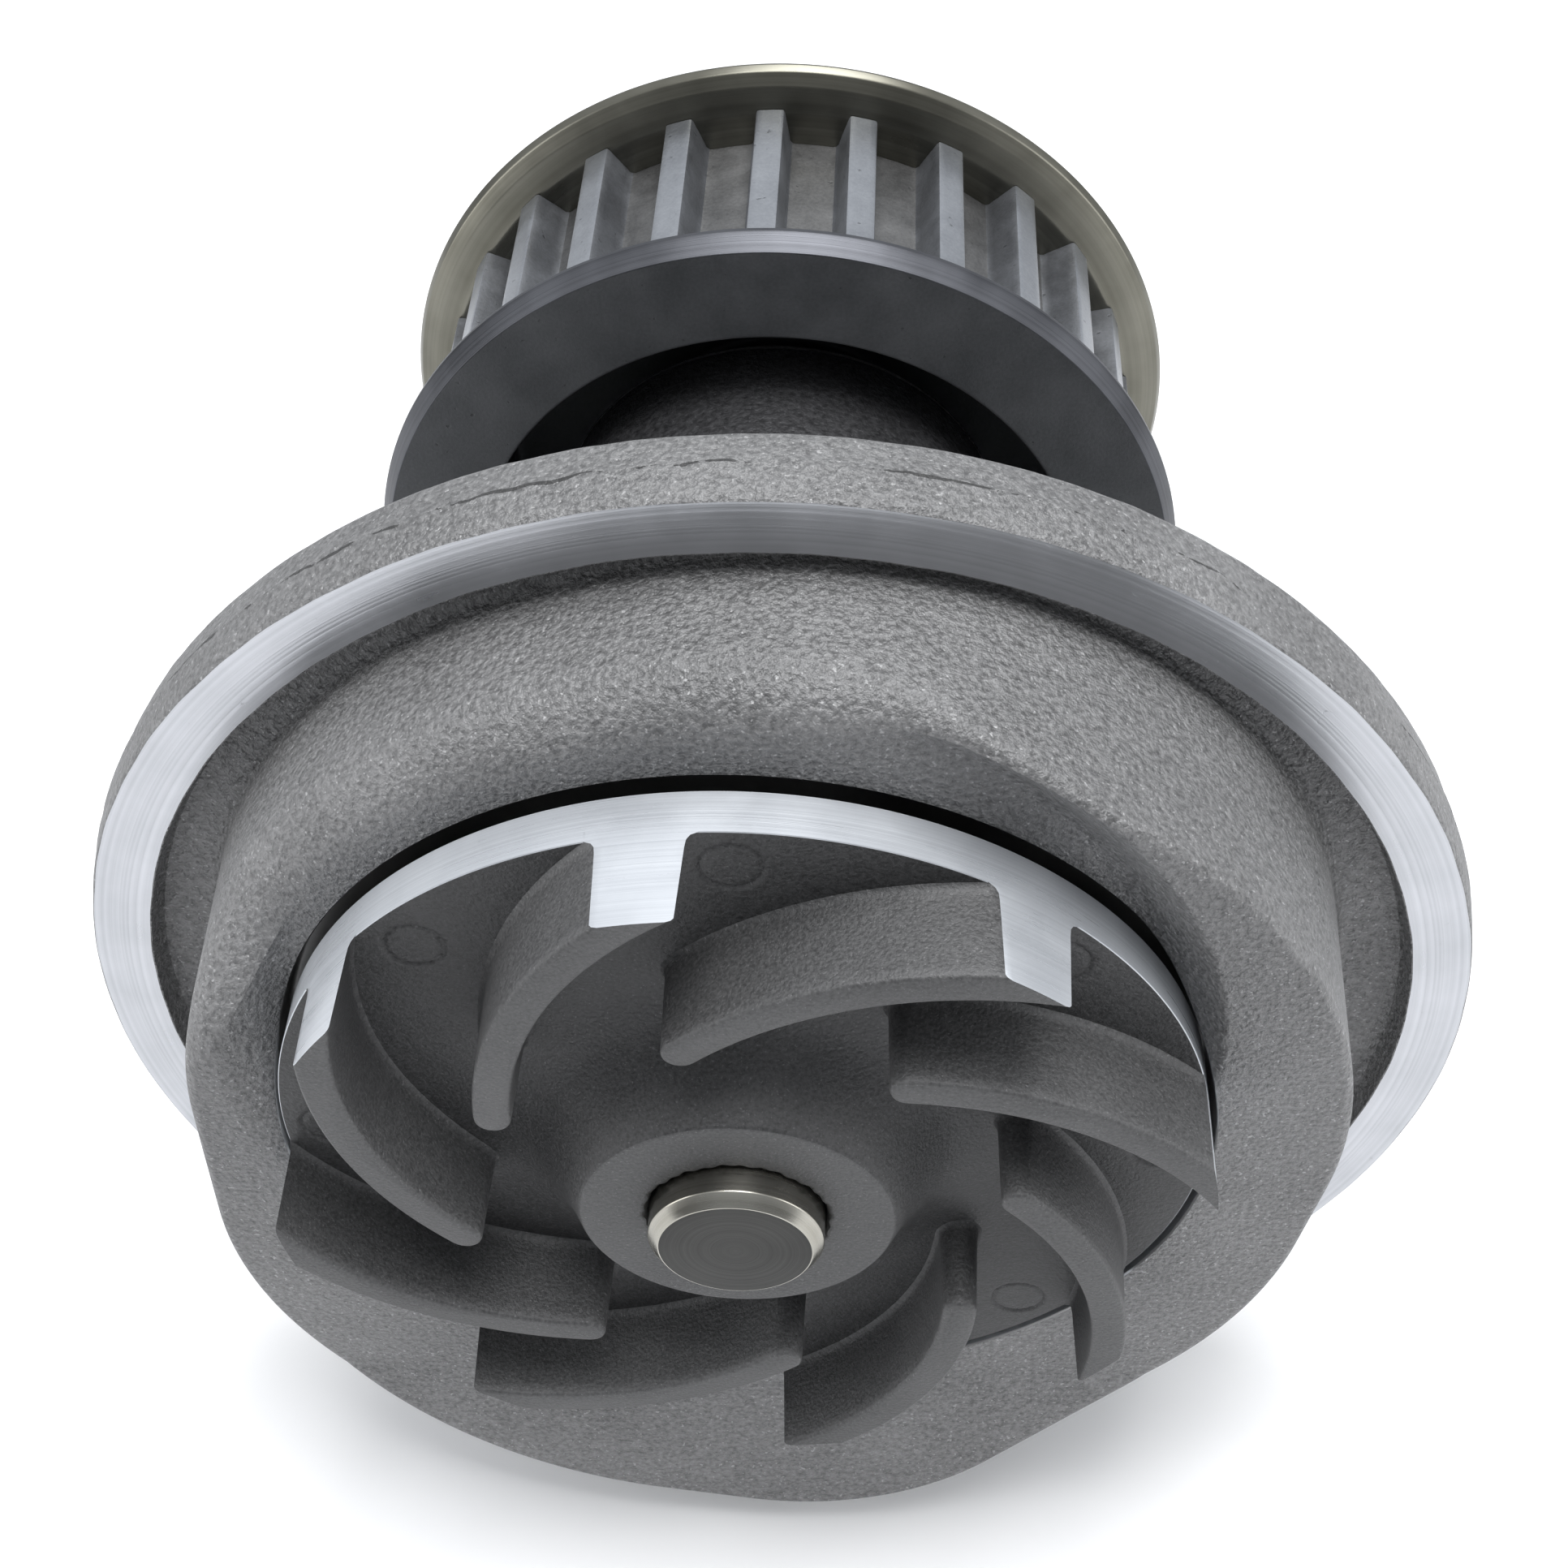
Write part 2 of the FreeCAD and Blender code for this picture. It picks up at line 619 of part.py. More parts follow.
def make_pump_body():
    """Casting: raised body, flange ring, bearing neck and the bores along the pump axis."""
    trimmed = cut("raised_trimmed", make_raised_body(), front_trim())
    scooped = cut("raised_scooped", trimmed, outlet_scoop())
    face = size("body_face_y")
    shelf = size("shelf_y")

    def outer_front_edge(edge):
        """Edges where the front face or the scoop's floor meets the outer wall."""
        outside = near(edge, r=(34.5, 60.0))
        along = near(edge, y=(face - 4.0, shelf + 0.05))
        return outside and along and not near(edge, y=(face - 4.0, face - 3.9))

    softened = rounded("raised_softened", scooped, 0.4, outer_front_edge)
    flat_rim = cut("flange_with_flat", make_flange(), index_flat())
    neck = turned("neck_turned", [
        ("0", "channel_floor_y + 1"),
        ("27.5", "channel_floor_y + 1"),
        ("27.5", "flange_back_y"),
        ("23.0", "flange_back_y + 2.2"),
        ("20.2", "flange_back_y + 5.6"),
        ("neck_radius", "flange_back_y + 9.5"),
        ("neck_radius", "neck_end_y - 0.8"),
        ("neck_radius - 0.8", "neck_end_y"),
        ("0", "neck_end_y"),
    ])
    solid = fused("casting_solid", [softened, flat_rim, neck])
    bores = turned("casting_bores", [
        ("0", "vane_tip_y - 10"),
        ("recess_radius", "vane_tip_y - 10"),
        ("recess_radius", "recess_floor_y"),
        ("seal_bore_radius", "recess_floor_y"),
        ("seal_bore_radius", "chamber_start_y"),
        ("chamber_radius", "chamber_start_y"),
        ("chamber_radius", "bearing_start_y"),
        ("bearing_radius", "bearing_start_y"),
        ("bearing_radius", "neck_end_y + 5"),
        ("0", "neck_end_y + 5"),
    ])
    weep = doc.addObject("Part::Cylinder", "weep_bore")
    weep.setExpression("Radius", bound("weep_hole_radius"))
    weep.Height = 30.0
    weep.Placement = FreeCAD.Placement(V(0, size("weep_hole_y"), 0), FreeCAD.Rotation(V(1, 0, 0), 180))
    weep.setExpression("Placement.Base.y", bound("weep_hole_y"))
    finish(cut("pump_body", solid, group("casting_cuts", [bores, weep])), "pump_body")


def make_weep_plug():
    """Slotted filter plug pressed into the mouth of the weep hole."""
    plug = doc.addObject("Part::Cylinder", "weep_plug_stem")
    plug.setExpression("Radius", bound("weep_hole_radius"))
    plug.Height = 3.0
    drain = doc.addObject("Part::Cylinder", "weep_plug_drain")
    drain.Radius = 0.9
    drain.Height = 6.0
    for obj, top in ((plug, -17.5), (drain, -16.0)):
        obj.Placement = FreeCAD.Placement(V(0, size("weep_hole_y"), top), FreeCAD.Rotation(V(1, 0, 0), 180))
        obj.setExpression("Placement.Base.y", bound("weep_hole_y"))
    finish(cut("weep_plug", plug, drain), "weep_plug")


# ---------------------------------------------------------------- sprocket
def make_sprocket():
    """Sintered belt sprocket: near flange, teeth, web and hub in one piece."""
    body = doc.addObject("PartDesign::Body", "sprocket")
    profile = polygon_sketch(body, "sprocket_profile", "XY_Plane", [
        ("journal_radius", "web_y - 6.5"),
        ("journal_radius + 5", "web_y - 6.5"),
        ("journal_radius + 5", "web_y"),
        ("sprocket_recess_radius - 0.6", "web_y"),
        ("sprocket_recess_radius", "sprocket_face_y"),
        ("near_flange_radius - 0.8", "sprocket_face_y"),
        ("near_flange_radius", "tooth_start_y - 0.45"),
        ("near_flange_radius - 0.15", "tooth_start_y - 0.2"),
        ("tooth_tip_radius", "tooth_start_y"),
        ("tooth_tip_radius", "tooth_end_y"),
        ("spigot_radius", "tooth_end_y"),
        ("spigot_radius", "tooth_end_y + far_flange_thickness"),
        ("journal_radius", "tooth_end_y + far_flange_thickness"),
    ])
    turn = body.newObject("PartDesign::Revolution", "sprocket_turn")
    turn.Profile = profile
    turn.ReferenceAxis = (profile, ["V_Axis"])
    turn.Angle = 360
    body.Tip = turn
    doc.recompute()
    grooves = []
    count = int(size("tooth_count"))
    first_land = 104.6
    for index in range(count):
        angle = first_land + 360.0 * (index + 0.5) / count
        grooves.append(belt_groove(index, angle))
    finish(cut("sprocket_toothed", body, group("belt_grooves", grooves)), "drive_sprocket")


def belt_groove(index, angle):
    """Straight-sided groove that one belt tooth drops into."""
    top = size("tooth_tip_radius") + 1.0
    floor = size("tooth_tip_radius - tooth_height")
    half_floor = size("groove_floor_width") / 2.0
    slope = (size("groove_top_width") / 2.0 - half_floor) / size("tooth_height")
    half_top = half_floor + slope * (top - floor)
    start = size("tooth_start_y")
    corners = [(-half_floor, floor), (half_floor, floor), (half_top, top), (-half_top, top)]
    wire = Part.makePolygon([V(x, start, z) for x, z in corners + corners[:1]])
    groove = doc.addObject("Part::Feature", "belt_groove_%02d" % index)
    length = size("tooth_end_y + 5") - start
    groove.Shape = Part.Face(wire).extrude(V(0, length, 0))
    groove.Placement = FreeCAD.Placement(V(0, 0, 0), FreeCAD.Rotation(V(0, 1, 0), 90.0 - angle))
    return groove


def make_far_flange():
    """Pressed sheet-steel flange, its rim rolled outwards, staked on the sprocket's spigot."""
    near_side = "tooth_end_y"
    far_side = "tooth_end_y + far_flange_thickness"
    finish(turned("sprocket_flange", [
        ("spigot_radius", near_side),
        ("tooth_tip_radius - 0.4", near_side),
        ("far_flange_radius - 1.6", near_side + " + 0.55"),
        ("far_flange_radius - 0.5", near_side + " + 1.1"),
        ("far_flange_radius", near_side + " + 1.75"),
        ("far_flange_radius", near_side + " + 2.05"),
        ("far_flange_radius - 0.55", near_side + " + 2.3"),
        ("far_flange_radius - 1.5", far_side + " + 0.75"),
        ("tooth_tip_radius - 0.6", far_side),
        ("spigot_radius", far_side),
    ]), "sprocket_flange")


# ---------------------------------------------------------------- the assembly
make_pump_body()
make_weep_plug()
make_bearing_outer_ring()
make_bearing_seal("front_bearing_seal", "bearing_start_y", "1")
make_bearing_seal("rear_bearing_seal", "bearing_end_y", "(-1)")
make_ball_row("front_balls", "front_row_y")
make_ball_row("rear_balls", "rear_row_y")
make_cage("front_ball_cage", "front_row_y", 1)
make_cage("rear_ball_cage", "rear_row_y", -1)
make_shaft()
make_slinger()
make_shaft_seal()
make_impeller()
make_sprocket()
make_far_flange()
doc.recompute()

# ---------------------------------------------------------------- checks and export
for obj in doc.Objects:
    if any(word in obj.State for word in ("Invalid", "Error")):
        raise RuntimeError("%s did not rebuild: %s" % (obj.Label, obj.State))
os.makedirs("parts", exist_ok=True)
for part in PARTS:
    shape = part.Shape
    if shape.isNull() or not shape.isValid():
        raise RuntimeError("%s has no valid shape" % part.Label)
    shape.exportStep("parts/%s.step" % part.Label)
    box = shape.BoundBox
    print("%-20s solids %d volume %9.1f  x %.2f %.2f  y %.2f %.2f  z %.2f %.2f" % (
        part.Label, len(shape.Solids), shape.Volume,
        box.XMin, box.XMax, box.YMin, box.YMax, box.ZMin, box.ZMax))
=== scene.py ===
"""Looks of a belt-driven water pump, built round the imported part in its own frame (metres).

The pump axis is Y, the impeller faces -Y and +Z is up. Shapes are worked out in millimetres and
scaled when a mesh is made. Most pieces are skins: rows of points, each row one closed loop round
the pump axis, joined into a mesh.
"""
import math

import bmesh
import bpy
import numpy as np
from mathutils import Matrix, Vector, noise


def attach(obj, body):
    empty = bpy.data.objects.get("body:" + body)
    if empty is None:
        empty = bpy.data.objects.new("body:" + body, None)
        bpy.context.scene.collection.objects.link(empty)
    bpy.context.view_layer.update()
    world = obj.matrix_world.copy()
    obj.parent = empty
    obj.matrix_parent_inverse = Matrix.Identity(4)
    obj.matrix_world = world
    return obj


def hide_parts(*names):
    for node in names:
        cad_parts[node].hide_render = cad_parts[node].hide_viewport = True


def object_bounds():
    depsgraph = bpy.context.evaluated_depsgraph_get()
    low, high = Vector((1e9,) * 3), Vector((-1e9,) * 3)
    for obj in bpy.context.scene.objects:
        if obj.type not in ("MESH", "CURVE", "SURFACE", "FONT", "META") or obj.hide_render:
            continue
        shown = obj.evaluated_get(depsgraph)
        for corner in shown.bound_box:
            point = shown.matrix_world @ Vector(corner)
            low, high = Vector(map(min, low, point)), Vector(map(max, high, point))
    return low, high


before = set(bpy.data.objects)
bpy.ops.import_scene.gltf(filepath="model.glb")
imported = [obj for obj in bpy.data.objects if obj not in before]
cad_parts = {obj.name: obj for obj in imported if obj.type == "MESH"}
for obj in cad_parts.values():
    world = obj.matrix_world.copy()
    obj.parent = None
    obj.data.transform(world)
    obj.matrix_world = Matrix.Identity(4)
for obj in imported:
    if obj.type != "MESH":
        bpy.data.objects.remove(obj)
cad_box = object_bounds()

MM = 0.001
FULL_TURN = 2.0 * math.pi

# ------------------------------------------------------------------ sizes, millimetres
RING_CENTRE = (1.6, -4.9)
RING_INNER, RING_OUTER = 46.7, 50.9
RIM_BULGE, PARTING_Y = 0.45, 3.0
FLANGE_BACK = 6.5
CHANNEL_FLOOR = 1.9
FLAT_ANGLE = math.radians(47.0)
FLAT_DISTANCE = RING_OUTER - 0.05
FACE_Y = -14.3
FACE_BEND_Z, FACE_LEAN = -32.4, 0.128
RECESS_RADIUS, RECESS_FLOOR = 32.75, -8.0
SCOOP_CENTRE, SCOOP_RADIUS, SCOOP_FLOOR, SCOOP_SLOPE = (-1.1, 10.3), 29.7, -10.1, 11.0 / 9.8
# the raised body's front edge is rounded more widely round its top left, between these directions
EDGE_ROUNDING, SOFT_ROUNDING = 0.7, 1.7
SOFT_FROM, SOFT_TO = 74.0, 163.0
# centre x, centre z and radius of the circles whose outer tangents outline the raised body
BODY_CIRCLES = ((0.0, 0.0, 39.0), (2.7, 0.6, 39.3), (0.54, -6.34, 40.2), (2.06, -28.98, 22.9),
                (-2.54, -13.37, 37.4))
DRAFT_FRONT, DRAFT_ROOT = (-18.3, -0.35), (2.9, 0.45)
NECK_RADIUS, NECK_END = 19.0, 51.5
SEAL_BORE, CHAMBER_RADIUS, BEARING_RADIUS = 16.0, 13.2, 15.0
CHAMBER_START, BEARING_START = 4.0, 11.0

IMPELLER_RADIUS = 32.25
DISC_FRONT, DISC_BACK, VANE_TIP = -14.2, -10.8, -21.1
HUB_FACE, HUB_RADIUS = -20.8, 10.8
VANE_COUNT, VANE_START = 8, math.radians(142.3)
VANE_MIDDLE_TURN, VANE_SWEEP = math.radians(21.3), math.radians(44.6)
VANE_INNER, VANE_MIDDLE = 19.2, 24.9
VANE_TIP_WIDTH, VANE_ROOT_WIDTH = 2.45, 2.75
SHAFT_END, THIN_SHAFT, JOURNAL = -23.3, 6.0, 8.0

TOOTH_COUNT, FIRST_LAND = 25, math.radians(104.6)
TIP_RADIUS, TOOTH_HEIGHT = 31.29, 3.2
GROOVE_TOP, GROOVE_FLOOR = 5.55, 3.9
SPROCKET_FACE, NEAR_FLANGE, SPROCKET_RECESS = 43.5, 34.2, 25.35
TOOTH_START, TOOTH_END, WEB_Y = 45.9, 66.9, 60.0
FAR_FLANGE, SPIGOT = 34.5, 24.0

# camera: millimetres and directions
SENSOR_WIDTH, LENS = 36.0, 53.79
CAMERA_PLACE = (12.7, -106.4, 136.9)
CAMERA_FORWARD, CAMERA_UP = (-0.0598, 0.6751, -0.7353), (0.0, 0.7366, 0.6763)


# ------------------------------------------------------------------ mesh helpers
def smooth_max(a, b, softness):
    """The larger of a and b, rounded where they meet."""
    h = np.clip(0.5 + 0.5 * (a - b) / softness, 0.0, 1.0)
    return b + (a - b) * h + softness * h * (1.0 - h)


def loop(angles, radius, y, centre=(0.0, 0.0)):
    """One closed row of points at the given radius and y about an axis along Y."""
    radius = np.broadcast_to(radius, angles.shape)
    y = np.broadcast_to(y, angles.shape)
    return np.stack([centre[0] + radius * np.cos(angles), y, centre[1] + radius * np.sin(angles)], axis=1)


def even_angles(count):
    return np.arange(count) * FULL_TURN / count


def rounded_profile(corners, steps=5):
    """(radius, y, rounding, material) corners to (radius, y, material) points, corners rounded."""
    points = []
    count = len(corners)
    for i, (r, y, rounding, material) in enumerate(corners):
        here = Vector((r, y))
        before = Vector(corners[i - 1][:2]) - here
        after = Vector(corners[(i + 1) % count][:2]) - here
        if rounding <= 0 or i in (0, count - 1):
            points.append((r, y, material))
            continue
        half = before.angle(after) / 2.0
        reach = min(rounding / math.tan(half), 0.49 * before.length, 0.49 * after.length)
        start = here + before.normalized() * reach
        end = here + after.normalized() * reach
        for step in range(steps + 1):
            t = step / steps
            bend = start * (1 - t) ** 2 + here * 2 * t * (1 - t) + end * t ** 2
            points.append((bend.x, bend.y, material))
    return points


def build(name, rows, bands, materials, wrap=False, sharp_degrees=32.0):
    """Mesh object from rows of points; bands[i] is the material number between rows i and i + 1."""
    count = len(rows[0])
    vertices = np.concatenate(rows) * MM
    faces, numbers = [], []
    last = len(rows) if wrap else len(rows) - 1
    for i in range(last):
        low, high = i * count, ((i + 1) % len(rows)) * count
        for j in range(count):
            k = (j + 1) % count
            faces.append((low + j, low + k, high + k, high + j))
        numbers.extend([bands[min(i, len(bands) - 1)]] * count)
    if not wrap:
        for row in (0, len(rows) - 1):
            faces.append(tuple(range(row * count, row * count + count)))
            numbers.append(bands[0 if row == 0 else -1])
    mesh = bpy.data.meshes.new(name)
    mesh.from_pydata([tuple(v) for v in vertices], [], faces)
    for material in materials:
        mesh.materials.append(material)
    mesh.polygons.foreach_set("material_index", numbers)
    work = bmesh.new()
    work.from_mesh(mesh)
    bmesh.ops.remove_doubles(work, verts=work.verts, dist=1e-7)
    bmesh.ops.recalc_face_normals(work, faces=work.faces)
    work.to_mesh(mesh)
    work.free()
    mesh.shade_smooth()
    mesh.set_sharp_from_angle(angle=math.radians(sharp_degrees))
    piece = bpy.data.objects.new(name, mesh)
    bpy.context.collection.objects.link(piece)
    return piece


def turned(name, corners, materials, columns=256, wrap=True):
    """Solid of revolution about the pump axis from rounded (radius, y) corners."""
    points = rounded_profile(corners)
    angles = even_angles(columns)
    rows = [loop(angles, r, y) for r, y, _ in points]
    return build(name, rows, [material for _, _, material in points], materials, wrap)


def joined(name, pieces):
    """One object from several pieces; its material slots are those of all of them."""
    bpy.ops.object.select_all(action="DESELECT")
    for piece in pieces:
        piece.select_set(True)
    bpy.context.view_layer.objects.active = pieces[0]
    bpy.ops.object.join()
    pieces[0].name = name
    return pieces[0]


# ------------------------------------------------------------------ material helpers
class Shader:
    """Short spelling for building a Principled material out of nodes."""

    def __init__(self, name, **values):
        self.material = bpy.data.materials.new(name)
        self.material.use_nodes = True
        self.nodes = self.material.node_tree.nodes
        self.links = self.material.node_tree.links
        self.principled = self.nodes["Principled BSDF"]
        for socket, value in values.items():
            self.principled.inputs[socket.replace("_", " ")].default_value = value
        self.place = self.nodes.new("ShaderNodeTexCoord").outputs["Object"]

    def link(self, source, target):
        if isinstance(source, (int, float, tuple)):
            target.default_value = source
        else:
            self.links.new(source, target)

    def math(self, operation, a, b=0.0, clamp=False):
        node = self.nodes.new("ShaderNodeMath")
        node.operation = operation
        node.use_clamp = clamp
        self.link(a, node.inputs[0])
        self.link(b, node.inputs[1])
        return node.outputs[0]

    def noise(self, grain_mm, detail=2.0, rough=0.5, distortion=0.0):
        """Noise whose features are about grain_mm across."""
        node = self.nodes.new("ShaderNodeTexNoise")
        for socket, value in (("Scale", 1.0 / (grain_mm * MM)), ("Detail", detail),
                              ("Roughness", rough), ("Distortion", distortion)):
            node.inputs[socket].default_value = value
        self.links.new(self.place, node.inputs["Vector"])
        return node.outputs["Fac"]

    def span(self, source, low, high, out_low=0.0, out_high=1.0):
        """Maps low..high of the source to out_low..out_high, held at both ends."""
        node = self.nodes.new("ShaderNodeMapRange")
        self.link(source, node.inputs["Value"])
        limits = (low, high, out_low, out_high)
        for socket, value in zip(("From Min", "From Max", "To Min", "To Max"), limits):
            node.inputs[socket].default_value = value
        return node.outputs["Result"]

    def mix(self, factor, dark, light):
        node = self.nodes.new("ShaderNodeMix")
        node.data_type = "RGBA"
        self.link(factor, node.inputs["Factor"])
        for socket, value in ((node.inputs[6], dark), (node.inputs[7], light)):
            if isinstance(value, tuple):
                socket.default_value = (*value, 1.0)
            else:
                self.links.new(value, socket)
        return node.outputs[2]

    def axis(self, number):
        node = self.nodes.new("ShaderNodeSeparateXYZ")
        self.links.new(self.place, node.inputs[0])
        return node.outputs[number]

    def radius(self, centre=(0.0, 0.0)):
        """Distance from an axis along Y, in metres."""
        dx = self.math("SUBTRACT", self.axis(0), centre[0] * MM)
        dz = self.math("SUBTRACT", self.axis(2), centre[1] * MM)
        square = self.math("ADD", self.math("MULTIPLY", dx, dx), self.math("MULTIPLY", dz, dz))
        return self.math("SQRT", square)

    def lay(self, pitch_mm, centre=(0.0, 0.0), along_axis=False):
        """Lines left by a lathe: noise that changes only with the radius, or only along the axis."""
        node = self.nodes.new("ShaderNodeTexNoise")
        node.noise_dimensions = "1D"
        node.inputs["Scale"].default_value = 1.0
        node.inputs["Detail"].default_value = 3.0
        node.inputs["Roughness"].default_value = 0.75
        source = self.axis(1) if along_axis else self.radius(centre)
        self.link(self.math("MULTIPLY", source, 1.0 / (pitch_mm * MM)), node.inputs["W"])
        return node.outputs["Fac"]

    def bump(self, height, depth_mm):
        node = self.nodes.new("ShaderNodeBump")
        node.inputs["Strength"].default_value = 1.0
        node.inputs["Distance"].default_value = depth_mm * MM
        self.links.new(height, node.inputs["Height"])
        return node.outputs["Normal"]

    def done(self, colour, roughness, normal):
        for socket, source in (("Base Color", colour), ("Roughness", roughness), ("Normal", normal)):
            self.links.new(source, self.principled.inputs[socket])
        return self.material


# ------------------------------------------------------------------ materials
def sand_cast(name, dark, light, grain=0.42, depth=0.16, parting=False):
    """Cast aluminium skin: pebbly grain, cloudy tone, bright specks, and the rim's broken parting line."""
    s = Shader(name, Metallic=0.5)
    pebble = s.noise(grain, detail=2.5, rough=0.6)
    coarse = s.noise(grain * 4.0, detail=2.0)
    cloud = s.noise(14.0, detail=3.0)
    tone = s.math("ADD", s.span(pebble, 0.3, 0.7, 0.05, 0.70), s.span(cloud, 0.3, 0.7, 0.0, 0.25))
    colour = s.mix(tone, dark, light)
    speck = s.span(s.noise(grain * 0.7, detail=1.0), 0.66, 0.74)
    colour = s.mix(s.math("MULTIPLY", speck, 0.5), colour, tuple(min(1.0, c * 1.7) for c in light))
    height = s.math("ADD", pebble, s.math("MULTIPLY", coarse, 0.6))
    if parting:
        wander = s.span(s.noise(3.0, detail=5.0), 0.3, 0.7, -0.22 * MM, 0.22 * MM)
        line = s.math("ADD", PARTING_Y * MM, wander)
        seam = s.math("ABSOLUTE", s.math("SUBTRACT", s.axis(1), line))
        width = s.span(s.noise(5.0, detail=5.0, rough=0.75), 0.50, 0.57, 0.0, 0.15 * MM)
        crack = s.math("LESS_THAN", seam, width)
        outside = s.math("GREATER_THAN", s.radius(RING_CENTRE), (RING_OUTER + 0.1) * MM)
        crack = s.math("MULTIPLY", crack, outside)
        colour = s.mix(s.math("MULTIPLY", crack, 0.85), colour, (0.03, 0.03, 0.03))
        height = s.math("SUBTRACT", height, s.math("MULTIPLY", crack, 2.0))
    rough = s.span(pebble, 0.3, 0.7, 0.50, 0.66)
    return s.done(colour, rough, s.bump(height, depth))


def turned_metal(name, dark, light, rough=(0.22, 0.42), pitch=0.5, centre=(0.0, 0.0), depth=0.012,
                 along_axis=False, scratch=0.0, anisotropy=0.0, metallic=1.0):
    """Lathe-turned metal with fine lay lines and a few handling scratches."""
    s = Shader(name, Metallic=metallic, Anisotropic=anisotropy)
    lines = s.lay(pitch, centre, along_axis=along_axis)
    broad = s.lay(pitch * 7.0, centre, along_axis=along_axis)
    cloud = s.noise(7.0, detail=3.0)
    tone = s.math("ADD", s.span(lines, 0.25, 0.75, 0.0, 0.5), s.span(cloud, 0.3, 0.7, 0.0, 0.5))
    colour = s.mix(tone, dark, light)
    roughness = s.math("ADD", s.span(broad, 0.3, 0.7, rough[0], rough[1]), s.span(cloud, 0.3, 0.7, 0.0, 0.08))
    height = lines
    if scratch:
        marks = s.span(s.noise(1.8, detail=6.0, rough=0.7, distortion=1.5), 0.66, 0.72)
        height = s.math("SUBTRACT", height, s.math("MULTIPLY", marks, scratch))
        roughness = s.math("ADD", roughness, s.math("MULTIPLY", marks, 0.2))
    if anisotropy:
        tangent = s.nodes.new("ShaderNodeTangent")
        tangent.direction_type = "RADIAL"
        tangent.axis = "Y"
        s.links.new(tangent.outputs[0], s.principled.inputs["Tangent"])
    return s.done(colour, roughness, s.bump(height, depth))


def sintered(name, dark, light, grain=0.3, metallic=0.85, rough=(0.38, 0.55), depth=0.02):
    """Pressed and sintered steel: fine pores, faint blotches, soft shine."""
    s = Shader(name, Metallic=metallic)
    pores = s.noise(grain, detail=3.0, rough=0.65)
    blotch = s.noise(5.0, detail=4.0, rough=0.6)
    tone = s.math("ADD", s.span(pores, 0.3, 0.7, 0.0, 0.4), s.span(blotch, 0.3, 0.7, 0.0, 0.6))
    colour = s.mix(tone, dark, light)
    pit = s.span(s.noise(grain * 2.2, detail=2.0), 0.70, 0.76)
    colour = s.mix(s.math("MULTIPLY", pit, 0.6), colour, tuple(c * 0.35 for c in dark))
    height = s.math("SUBTRACT", pores, s.math("MULTIPLY", pit, 0.8))
    return s.done(colour, s.span(blotch, 0.3, 0.7, rough[0], rough[1]), s.bump(height, depth))


def moulded(name, dark, light, rough=(0.45, 0.6), grain=0.5, depth=0.01, metallic=0.0):
    """Moulded rubber or plastic with a faint grain and handling marks."""
    s = Shader(name, Metallic=metallic)
    fine = s.noise(grain, detail=3.0)
    cloud = s.noise(grain * 14.0, detail=3.0)
    tone = s.math("ADD", s.span(fine, 0.3, 0.7, 0.0, 0.4), s.span(cloud, 0.3, 0.7, 0.0, 0.6))
    colour = s.mix(tone, dark, light)
    return s.done(colour, s.span(cloud, 0.3, 0.7, rough[0], rough[1]), s.bump(fine, depth))


CAST = sand_cast("cast_skin", (0.075, 0.075, 0.076), (0.28, 0.28, 0.282), depth=0.34, parting=True)
# The bearing neck's cast skin is made several times darker than the body's: painted shade, standing in for
# the shadow under the flange and the sprocket.
NECK_PAINTED_SHADE = sand_cast("neck_painted_shade", (0.016, 0.016, 0.017), (0.07, 0.07, 0.074), grain=0.5)
RING_TURNED = turned_metal("turned_ring", (0.36, 0.37, 0.39), (0.53, 0.54, 0.57), rough=(0.26, 0.36),
                           pitch=0.30, centre=RING_CENTRE, depth=0.012, scratch=0.6, anisotropy=0.55)
BORE_TURNED = turned_metal("turned_bore", (0.42, 0.42, 0.42), (0.60, 0.60, 0.60), rough=(0.3, 0.42),
                           pitch=0.35, depth=0.02, along_axis=True)
IMPELLER_SKIN = sand_cast("impeller_skin", (0.045, 0.045, 0.046), (0.125, 0.125, 0.127), grain=0.26,
                          depth=0.07)
# The impeller's disc, hub cone and hollow get a darker copy of the impeller skin: painted shade for the
# shadow deep between the vanes.
DISC_PAINTED_SHADE = sand_cast("impeller_disc_painted_shade", (0.026, 0.026, 0.0265), (0.094, 0.094, 0.096), grain=0.26,
                      depth=0.07)
IMPELLER_TURNED = turned_metal("impeller_turned", (0.40, 0.42, 0.45), (0.62, 0.645, 0.68), rough=(0.22, 0.34),
                               pitch=0.22, depth=0.010, along_axis=True, metallic=0.45)
SHAFT_STEEL = turned_metal("shaft_ground", (0.020, 0.020, 0.019), (0.050, 0.050, 0.048), rough=(0.22, 0.34),
                           pitch=0.45, depth=0.010)
SHAFT_SIDE = turned_metal("shaft_side", (0.22, 0.21, 0.18), (0.42, 0.41, 0.37), rough=(0.14, 0.26),
                          pitch=0.30, depth=0.006, along_axis=True)
SPROCKET_SKIN = sintered("sprocket_skin", (0.16, 0.165, 0.175), (0.27, 0.28, 0.30))
